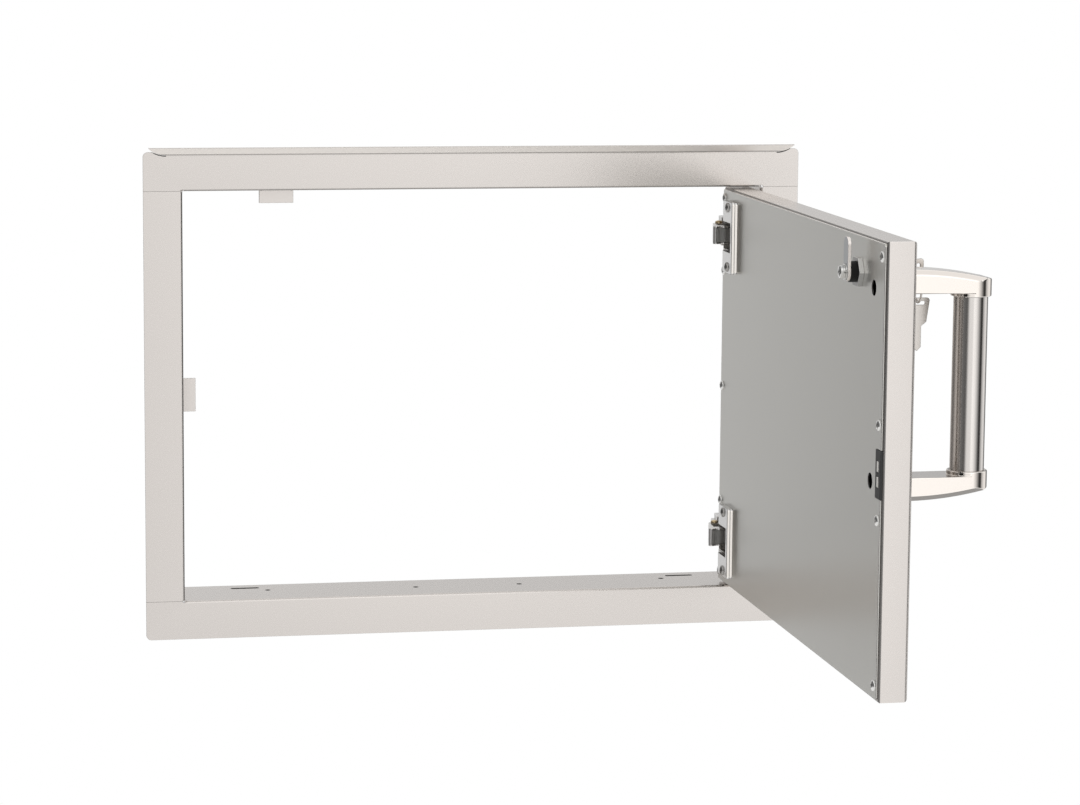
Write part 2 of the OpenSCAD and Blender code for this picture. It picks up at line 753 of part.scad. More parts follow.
// Outer skin of the door, folded into a pan with a lip round its back
module door_skin() {
  color([0.84, 0.82, 0.8]) in_door() difference() {
    pan_solid(0);
    pan_solid(skin_t);
    box(pan_lip, door_w - pan_lip, pan_depth - skin_t - over, pan_depth + over,
        -door_h / 2 + pan_lip, door_h / 2 - pan_lip);
    for (s = [-1, 1]) {
      box(cup_inset - seat_gap, pan_lip + over, pan_depth - back_bend_r - over, pan_depth + over,
          s * hinge_z - cup_hole_half, s * hinge_z + cup_hole_half);
      box(plate_inset - seat_gap, cup_u1 + seat_gap, pan_depth - skin_t - over, pan_depth + over,
          s * hinge_z - plate_h / 2 - seat_gap, s * hinge_z + plate_h / 2 + seat_gap);
      bar_y(handle_u, handle_z + s * handle_pitch / 2, handle_screw_d / 2 + hole_gap, -over, skin_t + over);
    }
    bar_y(lock_u, lock_z, barrel_r + hole_gap, -over, skin_t + over, round_fn);
    catch_space(pan_depth - skin_t - over, pan_depth + over);
    for (p = liner_screw_places())
      bar_y(p[0], p[1], pan_shank_d / 2 + hole_gap, pan_depth - skin_t - over, pan_depth + over);
  }
}

// Space round the catch housing in the back of the door
module catch_space(v0, v1) {
  box(catch_u0 - catch_gap, catch_u1 + catch_gap, v0, v1,
      -catch_drop - catch_h / 2 - catch_gap, -catch_drop + catch_h / 2 + catch_gap);
}

// Places of the liner screws: distance from the hinge edge and height
function liner_screw_places() = concat(
  [for (s = [-1, 1]) [door_w - free_screw_inset, s * (door_h / 2 - free_end_inset)]],
  [for (s = [-1, 1]) [door_w - free_screw_inset, s * free_mid_pitch / 2]],
  [for (s = [-1, 1]) [hinge_screw_inset, s * (door_h / 2 - hinge_end_inset)]],
  [for (s = [-1, 0, 1]) [hinge_screw_inset, s * (door_h / 2 - hinge_mid_inset)]]);

// Flat liner that closes the back of the door
module door_liner() {
  color([0.66, 0.65, 0.63]) in_door() difference() {
    plate_y(liner_v, liner_t) translate([door_w / 2, 0])
      round_rect(door_w - 2 * liner_inset, door_h - 2 * liner_inset, liner_corner_r, round_fn);
    for (s = [-1, 1]) {
      box(-over, cup_u1 + seat_gap, liner_v - over, inner_v + over,
          s * hinge_z - cup_hole_half, s * hinge_z + cup_hole_half);
      bar_y(handle_u, handle_z + s * handle_pitch / 2, access_hole_d / 2, liner_v - over, inner_v + over, round_fn);
      for (t = [-1, 1])
        bar_y(plate_screw_u, s * hinge_z + t * plate_screw_pitch / 2, pan_shank_d / 2 + hole_gap,
              liner_v - over, inner_v + over);
    }
    bar_y(lock_u, lock_z, barrel_r + hole_gap, liner_v - over, inner_v + over, round_fn);
    catch_space(liner_v - over, inner_v + over);
    for (p = liner_screw_places())
      bar_y(p[0], p[1], pan_shank_d / 2 + hole_gap, liner_v - over, inner_v + over);
  }
}

// Upright hat section between the skin and the liner
module door_stiffener() {
  l = door_h - 2 * pan_lip - 2 * stiffener_end_gap;
  half = stiffener_crown / 2;
  color([0.6, 0.6, 0.6]) in_door() translate([door_w / 2, 0, 0]) {
    box(-half, half, pan_depth - skin_t, pan_depth, -l / 2, l / 2);
    for (m = [0, 1]) mirror([m, 0, 0]) {
      box(half - skin_t, half, skin_t, pan_depth - skin_t, -l / 2, l / 2);
      box(half, half + stiffener_foot, skin_t, 2 * skin_t, -l / 2, l / 2);
    }
  }
}

module liner_screws() {
  color([0.7, 0.71, 0.72]) in_door() for (p = liner_screw_places())
    translate([p[0], inner_v, p[1]]) rotate([-90, 0, 0])
      pan_screw(pan_head_d / 2, pan_head_h, pan_shank_d / 2, liner_screw_l);
}

// Folded bracket on the jamb that carries a hinge arm
module hinge_base(z) {
  at_pivot(z) difference() {
    union() {
      box(-pivot_inset, -pivot_inset + base_t, base_front - pivot_depth, base_back - pivot_depth,
          -base_h / 2, base_h / 2);
      box(-pivot_inset, base_wall, riser_front - pivot_depth, base_back - pivot_depth,
          -riser_h / 2, riser_h / 2);
    }
    box(-pivot_inset + base_t, base_wall - base_t, riser_front - pivot_depth + base_t,
        base_back - pivot_depth + over, -riser_h / 2 + base_t, riser_h / 2 - base_t);
    translate([base_wall - base_t - over, mount_b, 0]) rotate([0, 90, 0])
      cylinder(d = pan_shank_d + 2 * hole_gap, h = base_t + 2 * over, $fn = small_fn);
    for (s = [-1, 1])
      translate([-pivot_inset - over, base_front - pivot_depth + base_h / 4, s * base_screw_z])
        rotate([0, 90, 0]) cylinder(d = pan_shank_d + 2 * hole_gap, h = base_t + 2 * over, $fn = small_fn);
  }
}

// Plan of the arm: eye, inner leg with two lobes, upright leg, outer leg and mounting leg
module arm_plan() {
  back = outer_leg_front + outer_leg_t;
  corner_r = outer_leg_t / 2;
  circle(r = eye_r, $fn = round_fn);
  translate([0, -eye_r]) square([arm_reach - nose_t, eye_r + leg_back]);
  translate([arm_reach - 4 * lobe_r, -leg_front]) square([4 * lobe_r - lobe_r / 2, leg_front + leg_back]);
  for (i = [1, 3]) translate([arm_reach - i * lobe_r, lobe_r - lobe_front]) circle(r = lobe_r, $fn = round_fn);
  translate([arm_reach - nose_t, lobe_r - lobe_front])
    square([nose_t, back - corner_r - lobe_r + lobe_front]);
  translate([base_wall, outer_leg_front]) square([arm_reach - corner_r - base_wall, outer_leg_t]);
  translate([arm_reach - corner_r, back - corner_r]) circle(r = corner_r, $fn = round_fn);
  translate([base_wall, outer_leg_front]) square([mount_leg_t, base_back - pivot_depth - outer_leg_front]);
}

// Rivet place on the outer leg, from the pivot
rivet_a = base_wall + mount_leg_t / 2;
rivet_b = outer_leg_front + outer_leg_t / 2;

module hinge_arm(z) {
  half = arm_h / 2 - insert_wall;
  at_pivot(z) difference() {
    linear_extrude(arm_h, center = true) arm_plan();
    cylinder(r = pin_r + pin_play, h = arm_h + 2 * over, center = true, $fn = round_fn);
    box(arm_reach - insert_strip - insert_l, arm_reach - insert_strip,
        -lobe_front - over, leg_back - insert_back, -half, half);
    translate([rivet_a, rivet_b, 0])
      cylinder(d = rivet_d + 2 * pin_play, h = arm_h + 2 * over, center = true, $fn = small_fn);
    translate([base_wall - over, mount_b, 0]) rotate([0, 90, 0])
      cylinder(d = pan_shank_d + 2 * hole_gap, h = mount_leg_t + 2 * over, $fn = small_fn);
  }
}

// Dark damper insert in the front of the arm
module hinge_insert(z) {
  half = arm_h / 2 - insert_wall - insert_gap;
  at_pivot(z) intersection() {
    linear_extrude(2 * half, center = true) translate([0, insert_gap]) arm_plan();
    box(arm_reach - insert_strip - insert_l + insert_gap, arm_reach - insert_strip - insert_gap,
        -lobe_front - over, leg_back - insert_back - insert_gap, -half, half);
  }
}

module hinge_pin(z) {
  in_door() translate([pivot_u, pivot_v, z])
    cylinder(r = pin_r, h = 2 * (cup_half + cup_t), center = true, $fn = round_fn);
}

// Folded cup let into the door, with a flange behind the liner on each side
module hinge_cup(z) {
  floor_v = skin_t + cup_gap;
  flange_half = plate_h / 2;
  flange_back = liner_v - seat_gap;
  in_door() translate([0, 0, z]) difference() {
    union() {
      box(cup_inset, cup_u1, floor_v, inner_v, -cup_half, cup_half);
      box(plate_inset, cup_u1, flange_back - cup_t, flange_back, -flange_half, flange_half);
    }
    box(cup_inset + cup_t, cup_u1 - cup_t, floor_v + cup_t, inner_v + over, -mouth_h / 2, mouth_h / 2);
    translate([pivot_u, pivot_v, 0])
      cylinder(r = pin_r + pin_play, h = 2 * cup_half + 2 * over, center = true, $fn = round_fn);
    for (s = [-1, 1])
      bar_y(plate_screw_u, s * plate_screw_pitch / 2, pan_shank_d / 2 + hole_gap,
            flange_back - cup_t - over, flange_back + over);
  }
}

// Outline of the hinge plate, open towards the hinge edge, drawn in by an inset
module plate_outline(inset) {
  difference() {
    translate([plate_inset + plate_w / 2, 0])
      round_rect(plate_w - 2 * inset, plate_h - 2 * inset, plate_corner_r, small_fn);
    translate([plate_inset - over, -mouth_h / 2]) square([mouth_depth + over, mouth_h]);
    for (s = [-1, 1])
      translate([plate_screw_u, s * plate_screw_pitch / 2])
        circle(r = pan_shank_d / 2 + hole_gap, $fn = small_fn);
  }
}

module hinge_spacer(z) {
  in_door() translate([0, 0, z]) plate_y(inner_v, plate_t) plate_outline(seat_gap);
}

module hinge_plate(z) {
  in_door() translate([0, 0, z]) plate_y(inner_v + plate_t, plate_t) plate_outline(0);
}

module upper_hinge_base() { color([0.62, 0.62, 0.61]) hinge_base(hinge_z); }
module lower_hinge_base() { color([0.62, 0.62, 0.61]) hinge_base(-hinge_z); }
module upper_hinge_arm() { color([0.72, 0.72, 0.71]) hinge_arm(hinge_z); }
module lower_hinge_arm() { color([0.72, 0.72, 0.71]) hinge_arm(-hinge_z); }
module upper_hinge_insert() { color([0.35, 0.35, 0.34]) hinge_insert(hinge_z); }
module lower_hinge_insert() { color([0.35, 0.35, 0.34]) hinge_insert(-hinge_z); }
module upper_hinge_pin() { color([0.8, 0.79, 0.77]) hinge_pin(hinge_z); }
module lower_hinge_pin() { color([0.8, 0.79, 0.77]) hinge_pin(-hinge_z); }
module upper_hinge_cup() { color([0.62, 0.62, 0.61]) hinge_cup(hinge_z); }
module lower_hinge_cup() { color([0.62, 0.62, 0.61]) hinge_cup(-hinge_z); }
module upper_hinge_spacer() { color([0.8, 0.79, 0.77]) hinge_spacer(hinge_z); }
module lower_hinge_spacer() { color([0.8, 0.79, 0.77]) hinge_spacer(-hinge_z); }
module upper_hinge_plate() { color([0.8, 0.79, 0.77]) hinge_plate(hinge_z); }
module lower_hinge_plate() { color([0.8, 0.79, 0.77]) hinge_plate(-hinge_z); }

module hinge_base_screws() {
  color([0.7, 0.71, 0.72]) for (h = [-1, 1], s = [-1, 1])
    at_pivot(h * hinge_z)
      translate([-pivot_inset + base_t, base_front - pivot_depth + base_h / 4, s * base_screw_z])
        rotate([0, 90, 0])
          pan_screw(base_screw_d / 2, base_screw_h, pan_shank_d / 2, base_t + sheet_t + pan_head_h);
}

module hinge_arm_screws() {
  color([0.7, 0.71, 0.72]) for (h = [-1, 1])
    at_pivot(h * hinge_z) translate([base_wall + mount_leg_t, mount_b, 0]) rotate([0, 90, 0])
      pan_screw(base_screw_d / 2, base_screw_h, pan_shank_d / 2, mount_leg_t + 2 * base_t);
}

module hinge_rivets() {
  color([0.78, 0.62, 0.3]) for (h = [-1, 1])
    at_pivot(h * hinge_z) translate([rivet_a, rivet_b, 0]) {
      cylinder(d = rivet_d, h = arm_h + 2 * rivet_head_h, center = true, $fn = small_fn);
      for (m = [0, 1]) mirror([0, 0, m]) translate([0, 0, arm_h / 2])
        cylinder(d = rivet_head_d, h = rivet_head_h, $fn = small_fn);
    }
}

module hinge_plate_screws() {
  color([0.7, 0.71, 0.72]) in_door() for (h = [-1, 1], s = [-1, 1])
    translate([plate_screw_u, plate_face_v, h * hinge_z + s * plate_screw_pitch / 2]) rotate([-90, 0, 0])
      pan_screw(pan_head_d / 2, pan_head_h, pan_shank_d / 2, 2 * plate_t + liner_t + 2 * cup_t);
}

// Upper arm of the handle, from the handle centre: a curved bar with a round end
module handle_arm() {
  core_r = arm_arc_r * arc_core_share;
  difference() {
    union() {
      intersection() {
        translate([0, 0, arm_inner]) {
          box(-boss_r, boss_r, -tube_off, 0, 0, arm_root);
          translate([0, -tube_off, 0]) cylinder(r = boss_r, h = arm_root, $fn = large_fn);
        }
        translate([0, 0, arm_outer - arm_arc_r]) rotate([0, 90, 0]) rotate_extrude($fn = arc_fn)
          polygon([[core_r, -boss_r], [arm_arc_r - arm_bevel, -boss_r], [arm_arc_r, -boss_r + arm_bevel],
                   [arm_arc_r, boss_r - arm_bevel], [arm_arc_r - arm_bevel, boss_r], [core_r, boss_r]]);
        along_x(2 * boss_r)
          polygon([[arm_inner, 0], [arm_outer, 0], [arm_outer, arm_bevel - arm_end - arm_end_drop],
                   [arm_outer - arm_end_drop - arm_bevel, -arm_end], [arm_inner, -arm_end]]);
      }
      translate([0, -tube_off, boss_inner]) cylinder(r = boss_r, h = 2 * rim_h, $fn = large_fn);
    }
    translate([0, -tube_off, boss_inner - over])
      cylinder(r = tube_d / 2 + tube_gap, h = socket_depth + over, $fn = large_fn);
    translate([0, 0, handle_pitch / 2]) rotate([90, 0, 0]) translate([0, 0, -over])
      cylinder(d = handle_screw_d + 2 * pin_play, h = handle_screw_l + over, $fn = small_fn);
    set_screw(set_screw_d + 2 * pin_play, over);
  }
}

// A set screw through the round end, pointed at the axis of the tube
module set_screw(d, extra) {
  translate([0, -tube_off, boss_inner + rim_h / 2]) rotate([0, 0, -set_screw_turn]) rotate([-90, 0, 0])
    translate([0, 0, tube_d / 2 + tube_gap / 2])
      cylinder(d = d, h = boss_r - tube_d / 2 - set_screw_d / 4 + 2 * extra, $fn = small_fn);
}

module at_handle() {
  in_door() translate([handle_u, 0, handle_z]) children();
}

module handle_upper_arm() {
  color([0.88, 0.86, 0.84]) at_handle() handle_arm();
}

module handle_lower_arm() {
  color([0.88, 0.86, 0.84]) at_handle() mirror([0, 0, 1]) handle_arm();
}

module handle_tube() {
  color([0.88, 0.86, 0.84]) at_handle() translate([0, -tube_off, 0]) difference() {
    cylinder(d = tube_d, h = 2 * tube_half, center = true, $fn = large_fn);
    cylinder(d = tube_d - 2 * tube_t, h = 2 * tube_half + 2 * over, center = true, $fn = large_fn);
  }
}

module handle_screws() {
  color([0.7, 0.71, 0.72]) at_handle() for (s = [-1, 1])
    translate([0, skin_t + handle_washer_t, s * handle_pitch / 2]) rotate([-90, 0, 0])
      pan_screw(handle_head_d / 2, handle_head_h, handle_screw_d / 2, handle_screw_l);
}

module handle_washers() {
  color([0.8, 0.79, 0.77]) at_handle() for (s = [-1, 1])
    translate([0, skin_t, s * handle_pitch / 2]) rotate([-90, 0, 0]) difference() {
      cylinder(d = handle_washer_d, h = handle_washer_t, $fn = round_fn);
      translate([0, 0, -over])
        cylinder(r = handle_screw_d / 2 + hole_gap, h = handle_washer_t + 2 * over, $fn = small_fn);
    }
}

module handle_set_screws() {
  color([0.12, 0.12, 0.12]) at_handle() for (m = [0, 1]) mirror([0, 0, m]) set_screw(set_screw_d, 0);
}

// Lock pieces share the axis of the lock, with Z out of the back of the door
module at_lock(v) {
  in_door() translate([lock_u, v, lock_z]) rotate([-90, 0, 0]) children();
}

// Head and threaded barrel of the lock
module lock_body() {
  head_r = lock_head_d / 2;
  color([0.2, 0.2, 0.2]) at_lock(0) difference() {
    union() {
      rotate_extrude($fn = large_fn)
        polygon([[0, 0], [head_r, 0], [head_r, lock_head_bevel - lock_head_h],
                 [head_r - lock_head_bevel, -lock_head_h], [0, -lock_head_h]]);
      translate([0, 0, -over]) cylinder(r = barrel_r, h = cam_v - hole_gap + over, $fn = round_fn);
    }
    translate([0, 0, -lock_head_h - over])
      cylinder(r = plug_d / 2 + plug_play, h = cam_v + lock_head_h + 2 * over, $fn = round_fn);
  }
}

module lock_nut() {
  color([0.8, 0.79, 0.77]) at_lock(inner_v) difference() {
    cylinder(r = nut_flats / sqrt(3), h = nut_t, $fn = 6);
    translate([0, 0, -over]) cylinder(r = barrel_r + pin_play, h = nut_t + 2 * over, $fn = round_fn);
  }
}

// Plug that turns in the barrel, with the keyway in front and a square tail behind
module lock_plug() {
  tail = cam_v + cam_t - hole_gap;
  color([0.8, 0.79, 0.77]) at_lock(0) difference() {
    union() {
      translate([0, 0, plug_face_v])
        cylinder(d = plug_d, h = cam_v - hole_gap - plug_face_v, $fn = round_fn);
      box(-tail_side / 2, tail_side / 2, -tail_side / 2, tail_side / 2, cam_v - over, tail);
    }
    box(-key_t / 2 - keyway_gap, key_t / 2 + keyway_gap, -blade_w / 2 - keyway_gap,
        blade_w / 2 + keyway_gap, plug_face_v - over, blade_tip_v + seat_gap);
    translate([0, 0, screw_head_v - cam_screw_l - seat_gap])
      cylinder(d = cam_screw_d + 2 * pin_play, h = cam_screw_l, $fn = small_fn);
  }
}

// Cam, drawn pointing up in the locked position
module lock_cam() {
  side = tail_side + 2 * pin_play;
  end_r = cam_w / 2;
  color([0.76, 0.72, 0.66]) in_door() translate([lock_u, 0, lock_z]) plate_y(cam_v, cam_t) difference() {
    union() {
      circle(r = cam_boss_r, $fn = round_fn);
      translate([-end_r, 0]) square([cam_w, cam_reach - end_r]);
      translate([0, cam_reach - end_r]) circle(r = end_r, $fn = round_fn);
    }
    square([side, side], center = true);
  }
}

module lock_cam_washer() {
  color([0.8, 0.79, 0.77]) at_lock(cam_back_v) difference() {
    cylinder(d = cam_washer_d, h = cam_washer_t, $fn = round_fn);
    translate([0, 0, -over]) cylinder(r = cam_screw_d / 2 + hole_gap, h = cam_washer_t + 2 * over, $fn = small_fn);
  }
}

module lock_spring_washer() {
  color([0.8, 0.79, 0.77]) at_lock(cam_back_v + cam_washer_t) difference() {
    cylinder(d = spring_washer_d, h = spring_washer_t, $fn = round_fn);
    translate([0, 0, -over])
      cylinder(r = cam_screw_d / 2 + hole_gap, h = spring_washer_t + 2 * over, $fn = small_fn);
    box(0, spring_washer_d, -spring_split_w / 2, spring_split_w / 2, -over, spring_washer_t + over);
  }
}

module lock_cam_screw() {
  color([0.7, 0.71, 0.72]) at_lock(screw_head_v) pan_screw(cam_head_d / 2, cam_head_h, cam_screw_d / 2, cam_screw_l);
}

// A key as a flat outline: X from the end of the bow to the tip, Y across
module key_outline() {
  half = blade_w / 2;
  wide = bow_w / 2;
  neck = bow_neck_w / 2;
  tip = bow_l + blade_l;
  shoulder = bow_l + bow_gap - seat_gap;
  difference() {
    union() {
      polygon([[0, bow_r - wide], [bow_r, -wide], [bow_l, -neck], [shoulder, -half], [tip - half, -half],
               [tip, 0], [tip - half, half], [shoulder, half], [bow_l, neck], [bow_r, wide], [0, wide - bow_r]]);
      for (s = [-1, 1]) translate([bow_r, s * (wide - bow_r)]) circle(r = bow_r, $fn = round_fn);
    }
    translate([key_slot_end, 0]) rotate([0, 0, 90]) slot_shape(key_slot_l, key_slot_w);
    for (i = [0:len(bit_shares) - 1]) translate([bow_l + bit_start + i * bit_pitch, half])
      polygon([[-bit_pitch / 2, over], [-bit_depth / 2, -bit_depth * bit_shares[i]],
               [bit_depth / 2, -bit_depth * bit_shares[i]], [bit_pitch / 2, over]]);
  }
}

// Key in the lock, with its bow upright
module lock_key() {
  color([0.8, 0.79, 0.77]) in_door() translate([lock_u - key_t / 2, bow_end_v, lock_z]) rotate([90, 0, 90])
    linear_extrude(key_t) key_outline();
}

module key_ring() {
  color([0.8, 0.79, 0.77]) in_door() translate([lock_u, key_slot_v, ring_z]) rotate([90, 0, 0])
    rotate_extrude($fn = large_fn) translate([ring_r, 0]) circle(r = ring_wire_r, $fn = 16);
}

// Spare key that hangs from the ring, blade down
module spare_key() {
  color([0.8, 0.79, 0.77]) in_door() translate([lock_u - key_t / 2, key_slot_v, spare_top_z]) rotate([0, 90, 0])
    linear_extrude(key_t) key_outline();
}

// Housing of the magnetic catch, with ears that snap behind the lip of the skin
module catch_housing() {
  half = catch_h / 2;
  ear_v1 = pan_depth - skin_t - catch_gap;
  color([0.12, 0.12, 0.12]) in_door() translate([catch_u, 0, -catch_drop]) difference() {
    union() {
      box(-catch_w / 2, catch_w / 2, catch_v0, catch_v1, -half, half);
      box(-catch_w / 2 + ear_t, catch_w / 2 - ear_t, ear_v1 - ear_t, ear_v1,
          -half - ear_reach, half + ear_reach);
    }
    box(-magnet_w / 2 - catch_gap, magnet_w / 2 + catch_gap, catch_v0 - over, magnet_v1 + catch_gap,
        -magnet_h / 2 - catch_gap, magnet_h / 2 + catch_gap);
    for (s = [-1, 1])
      box(-pole_t / 2 - catch_gap, pole_t / 2 + catch_gap, magnet_v1, catch_v1 + over,
          s * pole_pitch / 2 - pole_h / 2 - catch_gap, s * pole_pitch / 2 + pole_h / 2 + catch_gap);
  }
}

module catch_poles() {
  color([0.8, 0.79, 0.77]) in_door() translate([catch_u, 0, -catch_drop]) for (s = [-1, 1])
    box(-pole_t / 2, pole_t / 2, pole_v0, pole_v1,
        s * pole_pitch / 2 - pole_h / 2, s * pole_pitch / 2 + pole_h / 2);
}

module catch_magnet() {
  color([0.25, 0.25, 0.27]) in_door() translate([catch_u, 0, -catch_drop])
    box(-magnet_w / 2, magnet_w / 2, magnet_v0, magnet_v1, -magnet_h / 2, magnet_h / 2);
}

frame_top_rail();
frame_bottom_rail();
frame_left_stile();
frame_right_stile();
lock_strike_tab();
magnet_strike_tab();
door_skin();
door_liner();
door_stiffener();
liner_screws();
upper_hinge_base();
upper_hinge_arm();
upper_hinge_insert();
upper_hinge_pin();
upper_hinge_cup();
upper_hinge_spacer();
upper_hinge_plate();
lower_hinge_base();
lower_hinge_arm();
lower_hinge_insert();
lower_hinge_pin();
lower_hinge_cup();
lower_hinge_spacer();
lower_hinge_plate();
hinge_base_screws();
hinge_arm_screws();
hinge_rivets();
hinge_plate_screws();
handle_upper_arm();
handle_lower_arm();
handle_tube();
handle_screws();
handle_washers();
handle_set_screws();
lock_body();
lock_nut();
lock_plug();
lock_cam();
lock_cam_washer();
lock_spring_washer();
lock_cam_screw();
lock_key();
key_ring();
spare_key();
catch_housing();
catch_poles();
catch_magnet();
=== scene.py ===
import math

import bmesh
import bpy
from mathutils import Matrix, Vector


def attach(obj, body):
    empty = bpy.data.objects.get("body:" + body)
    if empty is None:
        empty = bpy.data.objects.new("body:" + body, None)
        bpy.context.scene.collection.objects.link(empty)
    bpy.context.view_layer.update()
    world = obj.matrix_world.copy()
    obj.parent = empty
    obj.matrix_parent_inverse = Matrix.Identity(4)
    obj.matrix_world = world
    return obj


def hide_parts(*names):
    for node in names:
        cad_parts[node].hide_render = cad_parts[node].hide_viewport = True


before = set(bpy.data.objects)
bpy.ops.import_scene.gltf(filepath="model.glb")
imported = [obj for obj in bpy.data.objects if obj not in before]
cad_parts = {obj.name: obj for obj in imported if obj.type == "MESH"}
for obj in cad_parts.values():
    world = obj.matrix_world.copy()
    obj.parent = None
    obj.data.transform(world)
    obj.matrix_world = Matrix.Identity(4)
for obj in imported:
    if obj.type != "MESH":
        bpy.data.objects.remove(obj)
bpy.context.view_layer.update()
scene = bpy.context.scene
scene.view_settings.view_transform = "Standard"

# Camera
# The viewpoint was fitted to the frame and the open door: about three metres in front,
# left of the opening and a little above it, through a long lens.
camera_place = Vector((-0.54686, -3.07803, 0.43889))
yaw, pitch, roll = 0.1942958, -0.1422435, 0.0079187
forward = Vector((math.sin(yaw) * math.cos(pitch), math.cos(yaw) * math.cos(pitch), math.sin(pitch)))
level = Vector((math.cos(yaw), -math.sin(yaw), 0))
upright = level.cross(forward)
right = level * math.cos(roll) + upright * math.sin(roll)
top = upright * math.cos(roll) - level * math.sin(roll)
lens = bpy.data.cameras.new("camera")
lens.sensor_width = 36
lens.lens = 118.753
lens.clip_end = 200
camera = bpy.data.objects.new("camera", lens)
turn = Matrix((right, top, -forward)).transposed()
camera.matrix_world = Matrix.Translation(camera_place) @ turn.to_4x4()
scene.collection.objects.link(camera)
scene.camera = camera


# Studio
# A pale floor far below the part, a white surround, and a round wall of soft light and
# shade that only the steel sees, as the screens and flags of a product studio.
def white_to_camera(tree, other, kind):
    """Mixes white, for rays that show the backdrop, with another shader."""
    path = tree.nodes.new("ShaderNodeLightPath")
    shows = tree.nodes.new("ShaderNodeMath")
    shows.operation = "MAXIMUM"
    tree.links.new(path.outputs["Is Camera Ray"], shows.inputs[0])
    tree.links.new(path.outputs["Is Transmission Ray"], shows.inputs[1])
    also = tree.nodes.new("ShaderNodeMath")
    also.operation = "MAXIMUM"
    tree.links.new(shows.outputs[0], also.inputs[0])
    tree.links.new(path.outputs["Is Glossy Ray"], also.inputs[1])
    white = tree.nodes.new(kind)
    white.inputs["Color"].default_value = (1, 1, 1, 1)
    white.inputs["Strength"].default_value = 1
    mix = tree.nodes.new("ShaderNodeMixShader")
    tree.links.new(also.outputs[0], mix.inputs[0])
    tree.links.new(other.outputs[0], mix.inputs[1])
    tree.links.new(white.outputs[0], mix.inputs[2])
    return mix


def emptied(owner):
    """Turns on the nodes of a world or a material, takes them all out and gives the bare tree."""
    owner.use_nodes = True
    for node in list(owner.node_tree.nodes):
        owner.node_tree.nodes.remove(node)
    return owner.node_tree


room_level = 0.55
world = bpy.data.worlds.new("studio")
scene.world = world
sky = emptied(world)
dim = sky.nodes.new("ShaderNodeBackground")
dim.inputs["Color"].default_value = (1, 1, 1, 1)
dim.inputs["Strength"].default_value = room_level
sky_end = sky.nodes.new("ShaderNodeOutputWorld")
seen_sky = white_to_camera(sky, dim, "ShaderNodeBackground")
sky.links.new(seen_sky.outputs[0], sky_end.inputs["Surface"])

floor_reach = 60.0
floor_z = -2.4
floor_grey = 0.85
floor_corners = ((-1, -1), (1, -1), (1, 1), (-1, 1))
floor_points = [(x * floor_reach, y * floor_reach, floor_z) for x, y in floor_corners]
floor_mesh = bpy.data.meshes.new("floor")
floor_mesh.from_pydata(floor_points, [], [(0, 1, 2, 3)])
floor = bpy.data.objects.new("floor", floor_mesh)
scene.collection.objects.link(floor)
pale = bpy.data.materials.new("pale_floor")
pale_tree = emptied(pale)
matt = pale_tree.nodes.new("ShaderNodeBsdfDiffuse")
matt.inputs["Color"].default_value = (floor_grey, floor_grey, floor_grey, 1)
pale_end = pale_tree.nodes.new("ShaderNodeOutputMaterial")
seen_floor = white_to_camera(pale_tree, matt, "ShaderNodeEmission")
pale_tree.links.new(seen_floor.outputs[0], pale_end.inputs["Surface"])
floor_mesh.materials.append(pale)

# Brightness of the wall by its bearing in degrees, from straight ahead of the frame round
# to the hinge side. The ramp that holds it stops at 1, so each level is divided by the top one.
wall_radius = 8.0
wall_top, wall_foot = 7.0, -2.38
wall_steps = 96
light_at_foot, light_at_top = 0.95, 1.35
top_level = 2
bearings = [(-180, 0.72), (-172, 0.99), (-163, 0.67), (-152, 0.12), (-118, 0.16), (-97, 0.14), (-78, 0.12),
            (-61, 0.20), (-36, 0.12), (-30, 0.24), (-21, 0.85), (-14, 1.00), (2, 1.02), (8, 1.20),
            (11.5, 1.38), (15, 1.25), (24, 1.18), (31, 0.93), (38, 0.72), (47, 0.38), (56, 0.08), (61, 0.03),
            (69, 0.06), (76, 0.50), (92, 0.90), (106, 1.05), (114, 0.70), (124, 0.20), (146, 0.20),
            (160, 0.64), (172, 0.66), (180, 0.72)]
angles = [2 * math.pi * i / wall_steps for i in range(wall_steps)]
wall_line = [(wall_radius * math.cos(angle), wall_radius * math.sin(angle)) for angle in angles]
foot_points = [(x, y, wall_foot) for x, y in wall_line]
top_points = [(x, y, wall_top) for x, y in wall_line]
next_step = [(i + 1) % wall_steps for i in range(wall_steps)]
wall_panels = [(next_step[i], i, wall_steps + i, wall_steps + next_step[i]) for i in range(wall_steps)]
wall_mesh = bpy.data.meshes.new("studio_wall")
wall_mesh.from_pydata(foot_points + top_points, [], wall_panels)
wall = bpy.data.objects.new("studio_wall", wall_mesh)
scene.collection.objects.link(wall)
glow = bpy.data.materials.new("studio_light")
glow_tree = emptied(glow)
spot_on_wall = glow_tree.nodes.new("ShaderNodeTexCoord")
split = glow_tree.nodes.new("ShaderNodeSeparateXYZ")
glow_tree.links.new(spot_on_wall.outputs["Object"], split.inputs[0])
back = glow_tree.nodes.new("ShaderNodeMath")
back.operation = "MULTIPLY"
back.inputs[1].default_value = -1
glow_tree.links.new(split.outputs["Y"], back.inputs[0])
bearing = glow_tree.nodes.new("ShaderNodeMath")
bearing.operation = "ARCTAN2"
glow_tree.links.new(split.outputs["X"], bearing.inputs[0])
glow_tree.links.new(back.outputs[0], bearing.inputs[1])
share = glow_tree.nodes.new("ShaderNodeMapRange")
share.inputs["From Min"].default_value = -math.pi
share.inputs["From Max"].default_value = math.pi
glow_tree.links.new(bearing.outputs[0], share.inputs["Value"])
screens = glow_tree.nodes.new("ShaderNodeValToRGB")
ramp = screens.color_ramp
while len(ramp.elements) > 1:
    ramp.elements.remove(ramp.elements[-1])
